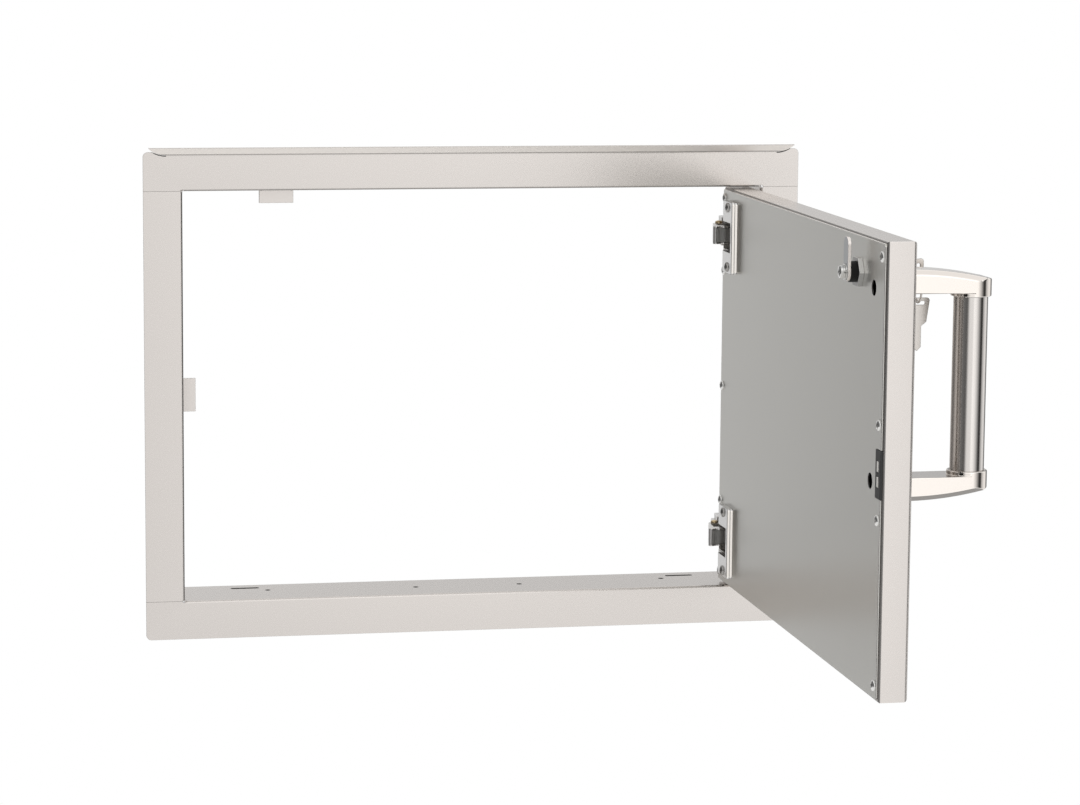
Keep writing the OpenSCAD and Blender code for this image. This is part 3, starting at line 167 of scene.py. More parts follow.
for i, (degrees, level_there) in enumerate(bearings):
    share_round = (degrees + 180) / 360
    stop = ramp.elements[0] if i == 0 else ramp.elements.new(share_round)
    stop.position = share_round
    stop.color = (level_there / top_level, level_there / top_level, level_there / top_level, 1)
glow_tree.links.new(share.outputs[0], screens.inputs[0])
lit = glow_tree.nodes.new("ShaderNodeEmission")
rise = glow_tree.nodes.new("ShaderNodeMapRange")
rise.inputs["From Min"].default_value = wall_foot
rise.inputs["From Max"].default_value = wall_top
rise.inputs["To Min"].default_value = top_level * light_at_foot
rise.inputs["To Max"].default_value = top_level * light_at_top
glow_tree.links.new(split.outputs["Z"], rise.inputs["Value"])
glow_tree.links.new(rise.outputs[0], lit.inputs["Strength"])
glow_tree.links.new(screens.outputs["Color"], lit.inputs["Color"])
glow_end = glow_tree.nodes.new("ShaderNodeOutputMaterial")
glow_tree.links.new(lit.outputs[0], glow_end.inputs["Surface"])
wall_mesh.materials.append(glow)
wall.visible_camera = False
wall.visible_shadow = False


# Frame
# Top and bottom rails and two stiles of 1.2 mm stainless sheet, folded back through the
# opening with a drip lip along the top, and brushed before folding. They are spot welded.
def brushed(name, colour, roughness, along, depth=0.05, spread=0.006, metal=1.0, lines=0.25,
            scale=520.0):
    """Worked metal: a fine sandy speckle, hair lines along one axis and faint cloudy handling marks."""
    finish = bpy.data.materials.new(name)
    finish.use_nodes = True
    tree = finish.node_tree
    new, link = tree.nodes.new, tree.links.new
    metal_node = tree.nodes["Principled BSDF"]
    metal_node.inputs["Metallic"].default_value = metal
    spot = new("ShaderNodeTexCoord")
    detail, cloud_scale, hair_finer, hair_stretch = 3, 7, 1.6, 0.02
    darkest, brightest = 0.3, 0.7
    rougher = 0.01

    def noise(size, stretch=(1, 1, 1)):
        fit = new("ShaderNodeMapping")
        fit.inputs["Scale"].default_value = stretch
        link(spot.outputs["Object"], fit.inputs["Vector"])
        grain = new("ShaderNodeTexNoise")
        grain.inputs["Scale"].default_value = size
        grain.inputs["Detail"].default_value = detail
        link(fit.outputs[0], grain.inputs["Vector"])
        return grain.outputs["Fac"]

    def spanned(source, low, high):
        span = new("ShaderNodeMapRange")
        span.inputs["From Min"].default_value = darkest
        span.inputs["From Max"].default_value = brightest
        span.inputs["To Min"].default_value = low
        span.inputs["To Max"].default_value = high
        link(source, span.inputs["Value"])
        return span.outputs[0]

    hair = noise(scale * hair_finer, [hair_stretch if axis == along else 1.0 for axis in "xyz"])
    sand = noise(scale)
    cloud = noise(cloud_scale)
    grain = new("ShaderNodeMix")
    grain.inputs["Factor"].default_value = lines
    link(sand, grain.inputs["A"])
    link(hair, grain.inputs["B"])
    worn = new("ShaderNodeMath")
    worn.operation = "MULTIPLY"
    link(spanned(grain.outputs["Result"], 1 - spread, 1 + spread), worn.inputs[0])
    link(spanned(cloud, 1 - spread / 2, 1 + spread / 2), worn.inputs[1])
    tint = new("ShaderNodeVectorMath")
    tint.operation = "SCALE"
    tint.inputs[0].default_value = colour
    link(worn.outputs[0], tint.inputs["Scale"])
    link(tint.outputs[0], metal_node.inputs["Base Color"])
    uneven = spanned(grain.outputs["Result"], roughness - rougher, roughness + rougher)
    link(uneven, metal_node.inputs["Roughness"])
    bump = new("ShaderNodeBump")
    bump.inputs["Strength"].default_value = depth
    bump.inputs["Distance"].default_value = 0.00001
    link(grain.outputs["Result"], bump.inputs["Height"])
    link(bump.outputs[0], metal_node.inputs["Normal"])
    return finish


def worked_copy(node, face, edge, radius=0.0003, steps=2, shaped=None, eased=None):
    """A welded copy of a CAD node with its sharp edges eased; the eased edges get their own finish.
    A piece whose real form is drafted or pressed gets a rule that moves its points first, and one
    that is eased only in places a rule that picks the ends of those edges."""
    bm = bmesh.new()
    bm.from_mesh(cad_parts[node].data)
    bmesh.ops.remove_doubles(bm, verts=bm.verts, dist=0.000004)
    bmesh.ops.dissolve_limit(bm, angle_limit=math.radians(0.4), verts=bm.verts, edges=bm.edges)
    mesh = bpy.data.meshes.new(node + "_piece")
    bm.verts.index_update()
    points = [shaped(v.co.copy()) if shaped else v.co.copy() for v in bm.verts]
    mesh.from_pydata(points, [], [[v.index for v in f.verts] for f in bm.faces])
    bm.free()
    mesh.materials.append(face)
    mesh.materials.append(edge)
    mesh.shade_smooth()
    mesh.set_sharp_from_angle(angle=math.radians(30))
    piece = bpy.data.objects.new(node + "_piece", mesh)
    scene.collection.objects.link(piece)
    if radius:
        ease = piece.modifiers.new("eased_edges", "BEVEL")
        ease.width = radius
        ease.segments = steps
        if eased:
            weight = mesh.attributes.new("bevel_weight_edge", "FLOAT", "EDGE")
            for line in mesh.edges:
                ends = [mesh.vertices[i].co for i in line.vertices]
                weight.data[line.index].value = float(eased(*ends))
        ease.limit_method = "WEIGHT" if eased else "ANGLE"
        ease.angle_limit = math.radians(35)
        ease.use_clamp_overlap = False
        ease.harden_normals = True
        ease.material = 1
        shown = bpy.data.meshes.new_from_object(piece.evaluated_get(bpy.context.evaluated_depsgraph_get()))
        piece.modifiers.clear()
        piece.data = shown
    return piece


def painted(piece, metal, chosen):
    """Gives the faces that a rule picks, by centre and normal, a metal of their own, mostly a painted
    highlight or a painted shade.
    """
    piece.data.materials.append(metal)
    for face in piece.data.polygons:
        if chosen(face.center, face.normal):
            face.material_index = len(piece.data.materials) - 1
    return piece


def stands_for(piece, body, finish, *nodes):
    """Hangs a finished piece on its body in place of its CAD nodes."""
    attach(piece, body)
    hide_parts(*nodes)


steel_tint = (0.64, 0.604, 0.575)
# The eased edges of the frame take a darker copy of the steel, as a painted shade along the edges.
cut_edge_painted_shade = brushed("cut_edge_painted_shade", (0.30, 0.285, 0.27), 0.3, "x", spread=0.05)
rail_sheet = brushed("rail_sheet", steel_tint, 0.27, "x")
stile_sheet = brushed("stile_sheet", steel_tint, 0.27, "z")
lip_painted_light = brushed("lip_painted_light", (0.89, 0.85, 0.81), 0.5, "x")
lip_crease_painted_shade = brushed("lip_crease_painted_shade", (0.44, 0.415, 0.395), 0.4, "x")
bend_side_painted_shade = brushed("bend_side_painted_shade", (0.24, 0.228, 0.217), 0.4, "z")
bend_under_painted_shade = brushed("bend_under_painted_shade", (0.36, 0.342, 0.326), 0.4, "x")
relief_shade = brushed("relief_shade", (0.03, 0.03, 0.03), 0.6, "x", metal=0.0)
# The lip starts at its root and bends up to its top. A round slot at each end parts it from
# the flange: its centre, radius and width, and the width left at the back of the sheet.
lip_root_z, lip_bend_top_z = 0.2114, 0.2125
flange_top_z, flange_middle_y = 0.2145, -0.0006
relief_x, relief_z, relief_r, relief_w, relief_left = 0.272, 0.2332, 0.0218, 0.0007, 0.0001
relief_edge, relief_rim = 0.0001, 0.00025
# Two measures that differ by less than this are taken as one, strictly or loosely
touching, near = 0.00001, 0.00005
# Below this height the top rail has only its return, and the slots and holes of the sill lie
# within these bounds
opening_top_z = 0.19
sill_front_y, sill_back_y, sill_end_x = 0.02, 0.062, 0.25
# How far a face turns to an axis before a rule picks it: forward, then from a little to almost
# fully, and the part of a bend that is neither of the flats it joins
ahead, a_little, clearly, halfway, squarely, almost_fully = -0.1, 0.05, 0.3, 0.5, 0.9, 0.97
bend_from, bend_to = 0.4, 0.99


def relief_reach(place):
    """Distance from the centre of the round end of the lip, or nothing away from it."""
    across = abs(place.x) - relief_x
    if across < -touching or place.z > flange_top_z + touching:
        return 0
    return math.hypot(across, place.z - relief_z)


def relief_closed(place):
    """Slants the back of the flange in towards the round ends of the lip, closing the slot behind, so that
    its walls show the painted shade of the slot and not the backdrop.
    """
    reach = relief_reach(place)
    if abs(reach - relief_r - relief_w) < near and place.y > flange_middle_y:
        pull = (relief_w - relief_left) / reach
        place.x -= math.copysign((abs(place.x) - relief_x) * pull, place.x)
        place.z = min(place.z - (place.z - relief_z) * pull, flange_top_z)
    return place


for name, sheet in (("frame_top_rail", rail_sheet), ("frame_bottom_rail", rail_sheet),
                    ("frame_left_stile", stile_sheet), ("frame_right_stile", stile_sheet)):
    top_rail = name == "frame_top_rail"
    piece = worked_copy(name, sheet, cut_edge_painted_shade, 0.00015, shaped=relief_closed if top_rail else None)
    if top_rail:
        # The front face of the lip takes a brighter copy of the rail's steel: painted light.
        painted(piece, lip_painted_light,
                lambda centre, facing: centre.z > lip_bend_top_z and facing.y < ahead
                and facing.z < -a_little)
        # Its root bend takes a darker copy: a painted shade under the lip.
        painted(piece, lip_crease_painted_shade,
                lambda centre, facing: lip_root_z < centre.z < lip_bend_top_z and facing.y < ahead
                and facing.z < -a_little and abs(facing.x) < a_little)
        painted(piece, relief_shade,
                lambda centre, facing: -relief_edge < relief_reach(centre) - relief_r < relief_w + relief_rim
                and facing.y > -almost_fully)
        # The lower bend of the top rail takes a darker copy: a painted shade along the underside of the rail.
        painted(piece, bend_under_painted_shade,
                lambda centre, facing: centre.z < opening_top_z and -bend_to < facing.z < -bend_from
                and facing.y < ahead)
    if name == "frame_bottom_rail":
        painted(piece, relief_shade,
                lambda centre, facing: sill_front_y < centre.y < sill_back_y and abs(centre.x) < sill_end_x
                and abs(facing.z) < halfway)
    if name == "frame_left_stile":
        # The bend of the left stile takes a darker copy: a painted shade along the bend.
        painted(piece, bend_side_painted_shade, lambda centre, facing: bend_from < facing.x < bend_to and facing.y < ahead)
    stands_for(piece, "frame", "frame_sheet", name)


# Strikes
# Two small angles of the same sheet, spot welded behind the flange: one for the cam of the
# lock, one for the magnet.
strike_sheet = brushed("strike_sheet", (0.66, 0.622, 0.592), 0.3, "x")
strike_side_painted_light = brushed("strike_side_painted_light", (0.88, 0.85, 0.82), 0.6, "x", metal=0.0)
jamb_x, side_gap, lock_from_edge, strike_shift = 0.258, 0.003, 0.441, 0.013
strike_middle_x = jamb_x - side_gap - lock_from_edge + strike_shift
strike_half, strike_front_y, strike_bend = 0.015, 0.0273, 0.0022
strike_turned = 0.2


def tight_folds(place):
    """Draws the side folds of the lock strike sharp, as a press brake leaves them in thin sheet."""
    across = abs(place.x - strike_middle_x) - strike_half + strike_bend
    forward_of = strike_front_y + strike_bend - place.y
    if across > 0 and forward_of > 0 and abs(math.hypot(across, forward_of) - strike_bend) < near:
        pull = strike_bend / max(across, forward_of)
        place.x += math.copysign(across * (pull - 1), place.x - strike_middle_x)
        place.y -= forward_of * (pull - 1)
    return place


for name in ("lock_strike_tab", "magnet_strike_tab"):
    folds = tight_folds if name == "lock_strike_tab" else None
    piece = worked_copy(name, strike_sheet, strike_side_painted_light, shaped=folds)
    # Their sides and eased edges take a lighter matt copy of the sheet: painted light in place of dark
    # reflections.
    painted(piece, strike_side_painted_light, lambda centre, facing: abs(facing.x) > strike_turned)
    stands_for(piece, "frame", "frame_sheet", name)


# Door skin
# The outer skin, one sheet folded into a pan 24 mm deep with a narrow lip round its back.
# Its corners are welded and ground flush, and its face is brushed along the door.
skin_sheet = brushed("skin_sheet", (0.66, 0.622, 0.592), 0.27, "y")
# The eased edges of the skin, liner and stiffener take a brighter copy of the sheet: a painted highlight.
sheet_edge_painted_highlight = brushed("sheet_edge_painted_highlight", (0.80, 0.76, 0.73), 0.24, "x", spread=0.03)
bend_shade = brushed("bend_shade", (0.29, 0.277, 0.265), 0.4, "y")
fold_front_x = 0.2325
free_edge_turned, long_edge_turned = -0.15, -0.6
skin = painted(worked_copy("door_skin", skin_sheet, sheet_edge_painted_highlight), bend_shade,
               lambda centre, facing: centre.x < fold_front_x
               and -bend_to < facing.x < (free_edge_turned if facing.y < ahead else long_edge_turned))
stands_for(skin, "door", "door_sheet", "door_skin")


# Door liner
# A flat sheet that closes the back of the door, cut for the hinges, lock, catch and the
# two access holes of the handle screws. It is screwed to the lip of the skin.
liner_sheet = brushed("liner_sheet", (0.61, 0.598, 0.563), 0.3, "y")
liner_rim = brushed("liner_rim", (0.56, 0.545, 0.52), 0.3, "z")
liner_top_z, liner_hinge_y, liner_free_y = 0.1771, 0.0182, -0.4882


def on_rim(place):
    """Whether a point of the liner lies on its outline."""
    return (abs(abs(place.z) - liner_top_z) < near or abs(place.y - liner_hinge_y) < near
            or abs(place.y - liner_free_y) < near)


liner = worked_copy("door_liner", liner_sheet, sheet_edge_painted_highlight, 0.00045,
                    eased=lambda start, end: on_rim(start) and on_rim(end) and abs(start.x - end.x) < near)
painted(liner, liner_rim, lambda centre, facing: abs(facing.z) < clearly and abs(facing.x) < almost_fully)
painted(liner, bend_shade, lambda centre, facing: facing.z < -clearly)
stands_for(liner, "door", "liner_sheet", "door_liner")


# Stiffener
# A hat section of galvanised sheet between the skin and the liner, glued to the skin.
# It keeps the broad face from drumming, and nothing of it shows.
zinc = brushed("zinc_sheet", (0.55, 0.56, 0.57), 0.42, "z", spread=0.08, scale=160.0)
stands_for(worked_copy("door_stiffener", zinc, sheet_edge_painted_highlight), "door", "inner_sheet", "door_stiffener")


# Screws
# Pan head screws of stainless steel with a cross recess, turned from wire and tumbled: nine in
# the liner, four in the hinge plates, six in the hinge bases, two in the handle and one in the cam.
def socket(tree, name, kind, value=None):
    """Adds a named input to a tree, with its usual value."""
    made = tree.interface.new_socket(name=name, in_out="INPUT", socket_type="NodeSocket" + kind)
    if value is not None:
        made.default_value = value
    return made


def set_out(tree, given, shape, end):
    """Sets a shape at each place along its axis, turned by its spin, and gives it the finish."""
    new, link = tree.nodes.new, tree.links.new
    axis = new("GeometryNodeInputNamedAttribute")
    axis.data_type = "FLOAT_VECTOR"
    axis.inputs["Name"].default_value = "axis"
    aim = new("FunctionNodeAlignRotationToVector")
    aim.axis = "Z"
    link(axis.outputs["Attribute"], aim.inputs["Vector"])
    spin = new("GeometryNodeInputNamedAttribute")
    spin.data_type = "FLOAT"
    spin.inputs["Name"].default_value = "spin"
    about = new("FunctionNodeAxisAngleToRotation")
    about.inputs["Axis"].default_value = (0, 0, 1)
    link(spin.outputs["Attribute"], about.inputs["Angle"])
    turned = new("FunctionNodeRotateRotation")
    turned.rotation_space = "LOCAL"
    link(aim.outputs[0], turned.inputs["Rotation"])
    link(about.outputs[0], turned.inputs["Rotate By"])
    lay = new("GeometryNodeInstanceOnPoints")
    link(given["Places"], lay.inputs["Points"])
    link(shape, lay.inputs["Instance"])
    link(turned.outputs[0], lay.inputs["Rotation"])
    real = new("GeometryNodeRealizeInstances")
    link(lay.outputs[0], real.inputs[0])
    coated = new("GeometryNodeSetMaterial")
    link(real.outputs[0], coated.inputs["Geometry"])
    link(given["Finish"], coated.inputs["Material"])
    link(coated.outputs[0], end.inputs[0])


def fastener_tree():
    """A turned head and shank with a cross recess in the head."""
    tree = bpy.data.node_groups.new("fastener", "GeometryNodeTree")
    new, link = tree.nodes.new, tree.links.new
    socket(tree, "Places", "Geometry")
    socket(tree, "Head Radius", "Float", 0.004)
    socket(tree, "Head Height", "Float", 0.002)
    socket(tree, "Rim Height", "Float", 0.0006)
    socket(tree, "Shank Radius", "Float", 0.002)
    socket(tree, "Shank Length", "Float", 0.006)
    socket(tree, "Recess", "Bool", True)
    socket(tree, "Recess Width", "Float", 0.0009)
    socket(tree, "Recess Reach", "Float", 0.0024)
    socket(tree, "Recess Depth", "Float", 0.0012)
    socket(tree, "Finish", "Material")
    tree.interface.new_socket(name="Fasteners", in_out="OUTPUT", socket_type="NodeSocketGeometry")
    given = new("NodeGroupInput").outputs
    end = new("NodeGroupOutput")

    def value(kind, a, b=None, c=None):
        node = new("ShaderNodeMath")
        node.operation = kind
        for slot_at, item in enumerate((a, b, c)):
            if item is None:
                continue
            if isinstance(item, (int, float)):
                node.inputs[slot_at].default_value = item
            else:
                link(item, node.inputs[slot_at])
        return node.outputs[0]

    def xyz(x=0.0, y=0.0, z=0.0):
        node = new("ShaderNodeCombineXYZ")
        for slot_at, item in enumerate((x, y, z)):
            if isinstance(item, (int, float)):
                node.inputs[slot_at].default_value = item
            else:
                link(item, node.inputs[slot_at])
        return node.outputs[0]

    shank = new("GeometryNodeMeshCylinder")
    shank.inputs["Vertices"].default_value = 32
    link(given["Shank Radius"], shank.inputs["Radius"])
    link(given["Shank Length"], shank.inputs["Depth"])
    lower = new("GeometryNodeTransform")
    link(shank.outputs["Mesh"], lower.inputs["Geometry"])
    link(xyz(z=value("MULTIPLY", given["Shank Length"], -0.5)), lower.inputs["Translation"])
    body = lower.outputs[0]
    facing = new("GeometryNodeInputNormal")
    part = new("ShaderNodeSeparateXYZ")
    link(facing.outputs[0], part.inputs[0])
    up = new("FunctionNodeCompare")
    up.operation = "GREATER_THAN"
    up.inputs["B"].default_value = squarely
    link(part.outputs["Z"], up.inputs["A"])
    picked = up.outputs[0]
    radius_now = given["Shank Radius"]
    height_now = value("MULTIPLY", given["Head Height"], 0.0)
    dome = value("SUBTRACT", given["Head Height"], given["Rim Height"])
    dome_angles = [math.radians(degrees) for degrees in (0, 22, 42, 60, 76)]
    steps = [(1.0, None)] + [(math.cos(angle), math.sin(angle)) for angle in dome_angles]
    for across, rise in steps:
        radius_next = value("MULTIPLY", given["Head Radius"], across)
        if rise is None:
            height_next = height_now
        else:
            height_next = value("MULTIPLY_ADD", dome, rise, given["Rim Height"])
        grow = new("GeometryNodeExtrudeMesh")
        grow.mode = "FACES"
        link(body, grow.inputs["Mesh"])
        link(picked, grow.inputs["Selection"])
        link(xyz(z=1.0), grow.inputs["Offset"])
        link(value("SUBTRACT", height_next, height_now), grow.inputs["Offset Scale"])
        grow.inputs["Individual"].default_value = False
        spread_out = new("GeometryNodeScaleElements")
        link(grow.outputs["Mesh"], spread_out.inputs["Geometry"])
        link(grow.outputs["Top"], spread_out.inputs["Selection"])
        link(value("DIVIDE", radius_next, radius_now), spread_out.inputs["Scale"])
        body = spread_out.outputs[0]
        picked = grow.outputs["Top"]
        radius_now, height_now = radius_next, height_next
    bars = new("GeometryNodeJoinGeometry")
    for quarter in (0, 1):
        bar = new("GeometryNodeMeshCube")
        size = (value("MULTIPLY", given["Recess Reach"], 2.0), given["Recess Width"])
        depth = value("MULTIPLY", given["Recess Depth"], 2.0)
        link(xyz(size[quarter], size[1 - quarter], depth), bar.inputs["Size"])
        lift = new("GeometryNodeTransform")
        link(bar.outputs["Mesh"], lift.inputs["Geometry"])
        link(xyz(z=given["Head Height"]), lift.inputs["Translation"])
        link(lift.outputs[0], bars.inputs[0])
    cut = new("GeometryNodeMeshBoolean")
    cut.operation = "DIFFERENCE"
    cut.solver = "EXACT"
    link(body, cut.inputs["Mesh 1"])
    link(bars.outputs[0], cut.inputs["Mesh 2"])
    cut.inputs["Self Intersection"].default_value = True
    choose = new("GeometryNodeSwitch")
    choose.input_type = "GEOMETRY"
    link(given["Recess"], choose.inputs["Switch"])
    link(body, choose.inputs["False"])
    link(cut.outputs["Mesh"], choose.inputs["True"])
    set_out(tree, given, choose.outputs[0], end)
    return tree


def grown(name, tree, places, sizes, smooth=35):
    """Runs a tree on places, each a point with an axis and a spin, and keeps a plain mesh."""
    seed = bpy.data.meshes.new(name + "_places")
    seed.from_pydata([point for point, axis, spin in places], [], [])
    seed.attributes.new("axis", "FLOAT_VECTOR", "POINT")
    seed.attributes.new("spin", "FLOAT", "POINT")
    for i, (point, axis, spin) in enumerate(places):
        seed.attributes["axis"].data[i].vector = axis
        seed.attributes["spin"].data[i].value = spin
    holder = bpy.data.objects.new(name + "_places", seed)
    scene.collection.objects.link(holder)
    run = holder.modifiers.new("grown", "NODES")
    run.node_group = tree
    for item in tree.interface.items_tree:
        if item.item_type == "SOCKET" and item.in_out == "INPUT" and item.name in sizes:
            run[item.identifier] = sizes[item.name]
    made = bpy.data.meshes.new_from_object(holder.evaluated_get(bpy.context.evaluated_depsgraph_get()))
    made.name = name
    bpy.data.objects.remove(holder)
    made.shade_smooth()
    made.set_sharp_from_angle(angle=math.radians(smooth))
    piece = bpy.data.objects.new(name, made)
    scene.collection.objects.link(piece)
    return piece


def ring_tree():
    """A turned ring: a rounded section swept round a circle."""
    tree = bpy.data.node_groups.new("turned_ring", "GeometryNodeTree")
    new, link = tree.nodes.new, tree.links.new
    socket(tree, "Places", "Geometry")
    socket(tree, "Ring Radius", "Float", 0.005)
    socket(tree, "Section Width", "Float", 0.002)
    socket(tree, "Section Height", "Float", 0.001)
    socket(tree, "Section Corner", "Float", 0.0002)
    socket(tree, "Finish", "Material")
    tree.interface.new_socket(name="Rings", in_out="OUTPUT", socket_type="NodeSocketGeometry")
    given = new("NodeGroupInput").outputs
    end = new("NodeGroupOutput")
    path = new("GeometryNodeCurvePrimitiveCircle")
    path.inputs["Resolution"].default_value = 64
    link(given["Ring Radius"], path.inputs["Radius"])
    section = new("GeometryNodeCurvePrimitiveQuadrilateral")
    link(given["Section Width"], section.inputs["Width"])
    link(given["Section Height"], section.inputs["Height"])
    ease = new("GeometryNodeFilletCurve")
    ease.mode = "POLY"
    ease.inputs["Count"].default_value = 4
    link(section.outputs[0], ease.inputs["Curve"])
    link(given["Section Corner"], ease.inputs["Radius"])
    swept = new("GeometryNodeCurveToMesh")
    link(path.outputs["Curve"], swept.inputs["Curve"])
    link(ease.outputs[0], swept.inputs["Profile Curve"])
    set_out(tree, given, swept.outputs[0], end)
    return tree


fastener = fastener_tree()
turned_ring = ring_tree()
bright_screw_and_edge_highlight = brushed("bright_screw_and_edge_highlight", (0.72, 0.715, 0.70), 0.2, "x", spread=0.04, scale=2500.0)
pan_head = {"Head Radius": 0.00435, "Head Height": 0.0021, "Rim Height": 0.0006, "Shank Radius": 0.002,
            "Recess Width": 0.00085, "Recess Reach": 0.00245, "Recess Depth": 0.00115, "Finish": bright_screw_and_edge_highlight}
inward = (-1, 0, 0)
hinge_edge_y = 0.020
liner_x = 0.2288
# Each screw stopped at its own turn, in radians
turns = (0.35, 1.2, 0.7, 0.1, 1.0, 0.5, 0.15, 0.9, 0.6, 0.25)
free_column, hinge_column = 0.5015, 0.007
liner_rows = [(free_column, 0.1665), (free_column, -0.1665), (free_column, 0.037), (free_column, -0.037),
              (hinge_column, 0.1695), (hinge_column, -0.1695), (hinge_column, 0.1045), (hinge_column, 0),
              (hinge_column, -0.1045)]
liner_places = [((liner_x, hinge_edge_y - from_edge, z), inward, turns[i])
                for i, (from_edge, z) in enumerate(liner_rows)]
liner_screws = grown("liner_screws_piece", fastener, liner_places, {**pan_head, "Shank Length": 0.006})
stands_for(liner_screws, "door", "screw_steel", "liner_screws")


# Hinges
# Two concealed hinges: a folded base screwed to the jamb, a cast arm with a damper insert,
# and on the door a pressed cup with the pin, behind a spacer and a cover plate.
# The eased edges of the bases, arms and cups take a brighter copy of the metal: a painted highlight.
hinge_edge_painted_highlight = brushed("hinge_edge_painted_highlight", (0.86, 0.83, 0.80), 0.2, "z", spread=0.03)
arm_metal = brushed("arm_metal", (0.76, 0.745, 0.73), 0.28, "y", spread=0.04, scale=900.0)
base_metal = brushed("base_metal", (0.70, 0.69, 0.68), 0.32, "z", spread=0.04)
plate_metal = brushed("plate_metal", (0.72, 0.71, 0.70), 0.22, "z", spread=0.02)
cup_metal = brushed("cup_metal", (0.74, 0.72, 0.69), 0.4, "z", spread=0.05)
pin_metal = brushed("pin_metal", (0.78, 0.77, 0.75), 0.18, "z", spread=0.02)
insert_grey = brushed("insert_grey", (0.34, 0.335, 0.32), 0.7, "z", spread=0.06, metal=0.0)
insert_grey.node_tree.nodes["Principled BSDF"].inputs["Specular IOR Level"].default_value = 0.2
hinge_screw_and_edge_shade = brushed("hinge_screw_and_edge_shade", (0.36, 0.35, 0.335), 0.24, "x", spread=0.05, scale=2500.0)
plate_edge_painted_highlight = brushed("plate_edge_painted_highlight", (0.90, 0.86, 0.81), 0.25, "z", spread=0.02)
plate_line_painted_shade = brushed("plate_line_painted_shade", (0.20, 0.19, 0.18), 0.3, "z")
hinge_z = 0.137
plate_face_x, plate_t = 0.2235, 0.00265
plate_middle_y, plate_front_y = -0.0172, -0.0332
draft = math.tan(math.radians(13))
nose_x, nose_depth, nose_front_y = 0.2150, 0.0097, 0.0
taper = math.tan(math.radians(13.2))
lug_seat_x, lug_t, lug_lean = 0.231, 0.006, 0.003
lug_front_y, lug_back_y = 0.0345, 0.0568
base_front_y, base_bend_x, base_share = 0.0278, 0.240, 0.854


def drafted(outer_x):
    """Draft on the long edge of a cast plate, so that the edge slants out towards the liner."""
    def shaped(place):
        reach = min(max((plate_middle_y - place.y) / (plate_middle_y - plate_front_y), 0), 1)
        place.y -= draft * max(place.x - outer_x, 0) * reach
        return place
    return shaped


def tapered(place):
    """The nose of the cast arm narrows towards the back, and its mounting lug leans to the jamb."""
    share_there = max(1 - (place.x - nose_x) / nose_depth, 0)
    lug = max(place.y - lug_front_y, 0) / (lug_back_y - lug_front_y)
    thinner = min(max((lug_seat_x - place.x) / lug_t, 0), 1)
    place.x += taper * max(min(place.y, lug_front_y) - nose_front_y, 0) * min(share_there, 1)
    place.x += lug * lug_lean * (1 + thinner)
    return place


def folded(place):
    """The wall of the folded base leans with the lug, and the base is as short as it looks."""
    if place.x < base_bend_x:
        place.x += lug_lean * (place.y - base_front_y) / (lug_back_y - base_front_y)
    side = 1 if place.z > 0 else -1
    place.z = side * (hinge_z + (abs(place.z) - hinge_z) * base_share)
    return place


for end_name in ("upper", "lower"):
    stands_for(worked_copy(end_name + "_hinge_base", base_metal, hinge_edge_painted_highlight, shaped=folded), "frame",
               "hinge_steel", end_name + "_hinge_base")
    stands_for(worked_copy(end_name + "_hinge_arm", arm_metal, hinge_edge_painted_highlight, shaped=tapered), "frame",
               "hinge_steel", end_name + "_hinge_arm")
    stands_for(worked_copy(end_name + "_hinge_insert", insert_grey, insert_grey, shaped=tapered), "frame",
               "hinge_insert", end_name + "_hinge_insert")
    stands_for(worked_copy(end_name + "_hinge_cup", cup_metal, hinge_edge_painted_highlight, 0.00015), "door", "inner_sheet",
               end_name + "_hinge_cup")
    stands_for(worked_copy(end_name + "_hinge_pin", pin_metal, pin_metal, 0.0002), "door", "pin_steel",
               end_name + "_hinge_pin")
    for part_name, outer_x in (("_hinge_plate", plate_face_x), ("_hinge_spacer", plate_face_x + plate_t)):
        # The eased edges of the plate and spacer take a dark copy, as painted shade, and their forward faces
        # a bright one, as a painted highlight.
        piece = worked_copy(end_name + part_name, plate_metal, plate_line_painted_shade, 0.0004, shaped=drafted(outer_x))
        painted(piece, plate_edge_painted_highlight, lambda centre, facing: facing.y < -squarely)
        stands_for(piece, "door", "hinge_steel", end_name + part_name)


# Screws and rivets of the hinges
# Two pan heads hold each cover plate and two each base. One holds the arm on its base, and a
# brass rivet closes the two legs of the arm.
both_ways = ((1, 1), (1, -1), (-1, 1), (-1, -1))
plate_screw_y, plate_screw_z = hinge_edge_y - 0.0377, 0.0265
plate_places = [((plate_face_x, plate_screw_y, hinge * hinge_z + side * plate_screw_z), inward, turns[i])
                for i, (hinge, side) in enumerate(both_ways)]
plate_screws = grown("hinge_plate_screws_piece", fastener, plate_places,
                     {**pan_head, "Shank Length": 0.0081, "Finish": hinge_screw_and_edge_shade})
stands_for(plate_screws, "door", "screw_steel", "hinge_plate_screws")
base_seat_x, base_screw_y, base_screw_z = 0.2555, 0.0398, 0.0195 * base_share
base_places = [((base_seat_x, base_screw_y, hinge * hinge_z + side * base_screw_z), inward, turns[i + 3])
               for i, (hinge, side) in enumerate(both_ways)]
base_head = {**pan_head, "Head Radius": 0.0036, "Head Height": 0.002}
base_screws = grown("hinge_base_screws_piece", fastener, base_places, {**base_head, "Shank Length": 0.0058})
stands_for(base_screws, "frame", "screw_steel", "hinge_base_screws")
lug_face_x, lug_screw_y = 0.2283, 0.0468
arm_places = [((lug_face_x, lug_screw_y, hinge * hinge_z), inward, turns[i + 7])
              for i, hinge in enumerate((1, -1))]
arm_screws = grown("hinge_arm_screws_piece", fastener, arm_places,
                   {**base_head, "Head Height": 0.0016, "Shank Length": 0.0077})
stands_for(arm_screws, "frame", "screw_steel", "hinge_arm_screws")
brass = brushed("rivet_brass", (0.56, 0.44, 0.27), 0.28, "x", spread=0.06, scale=1500.0)
rivet_x, rivet_y, arm_half = 0.228, 0.0318, 0.008
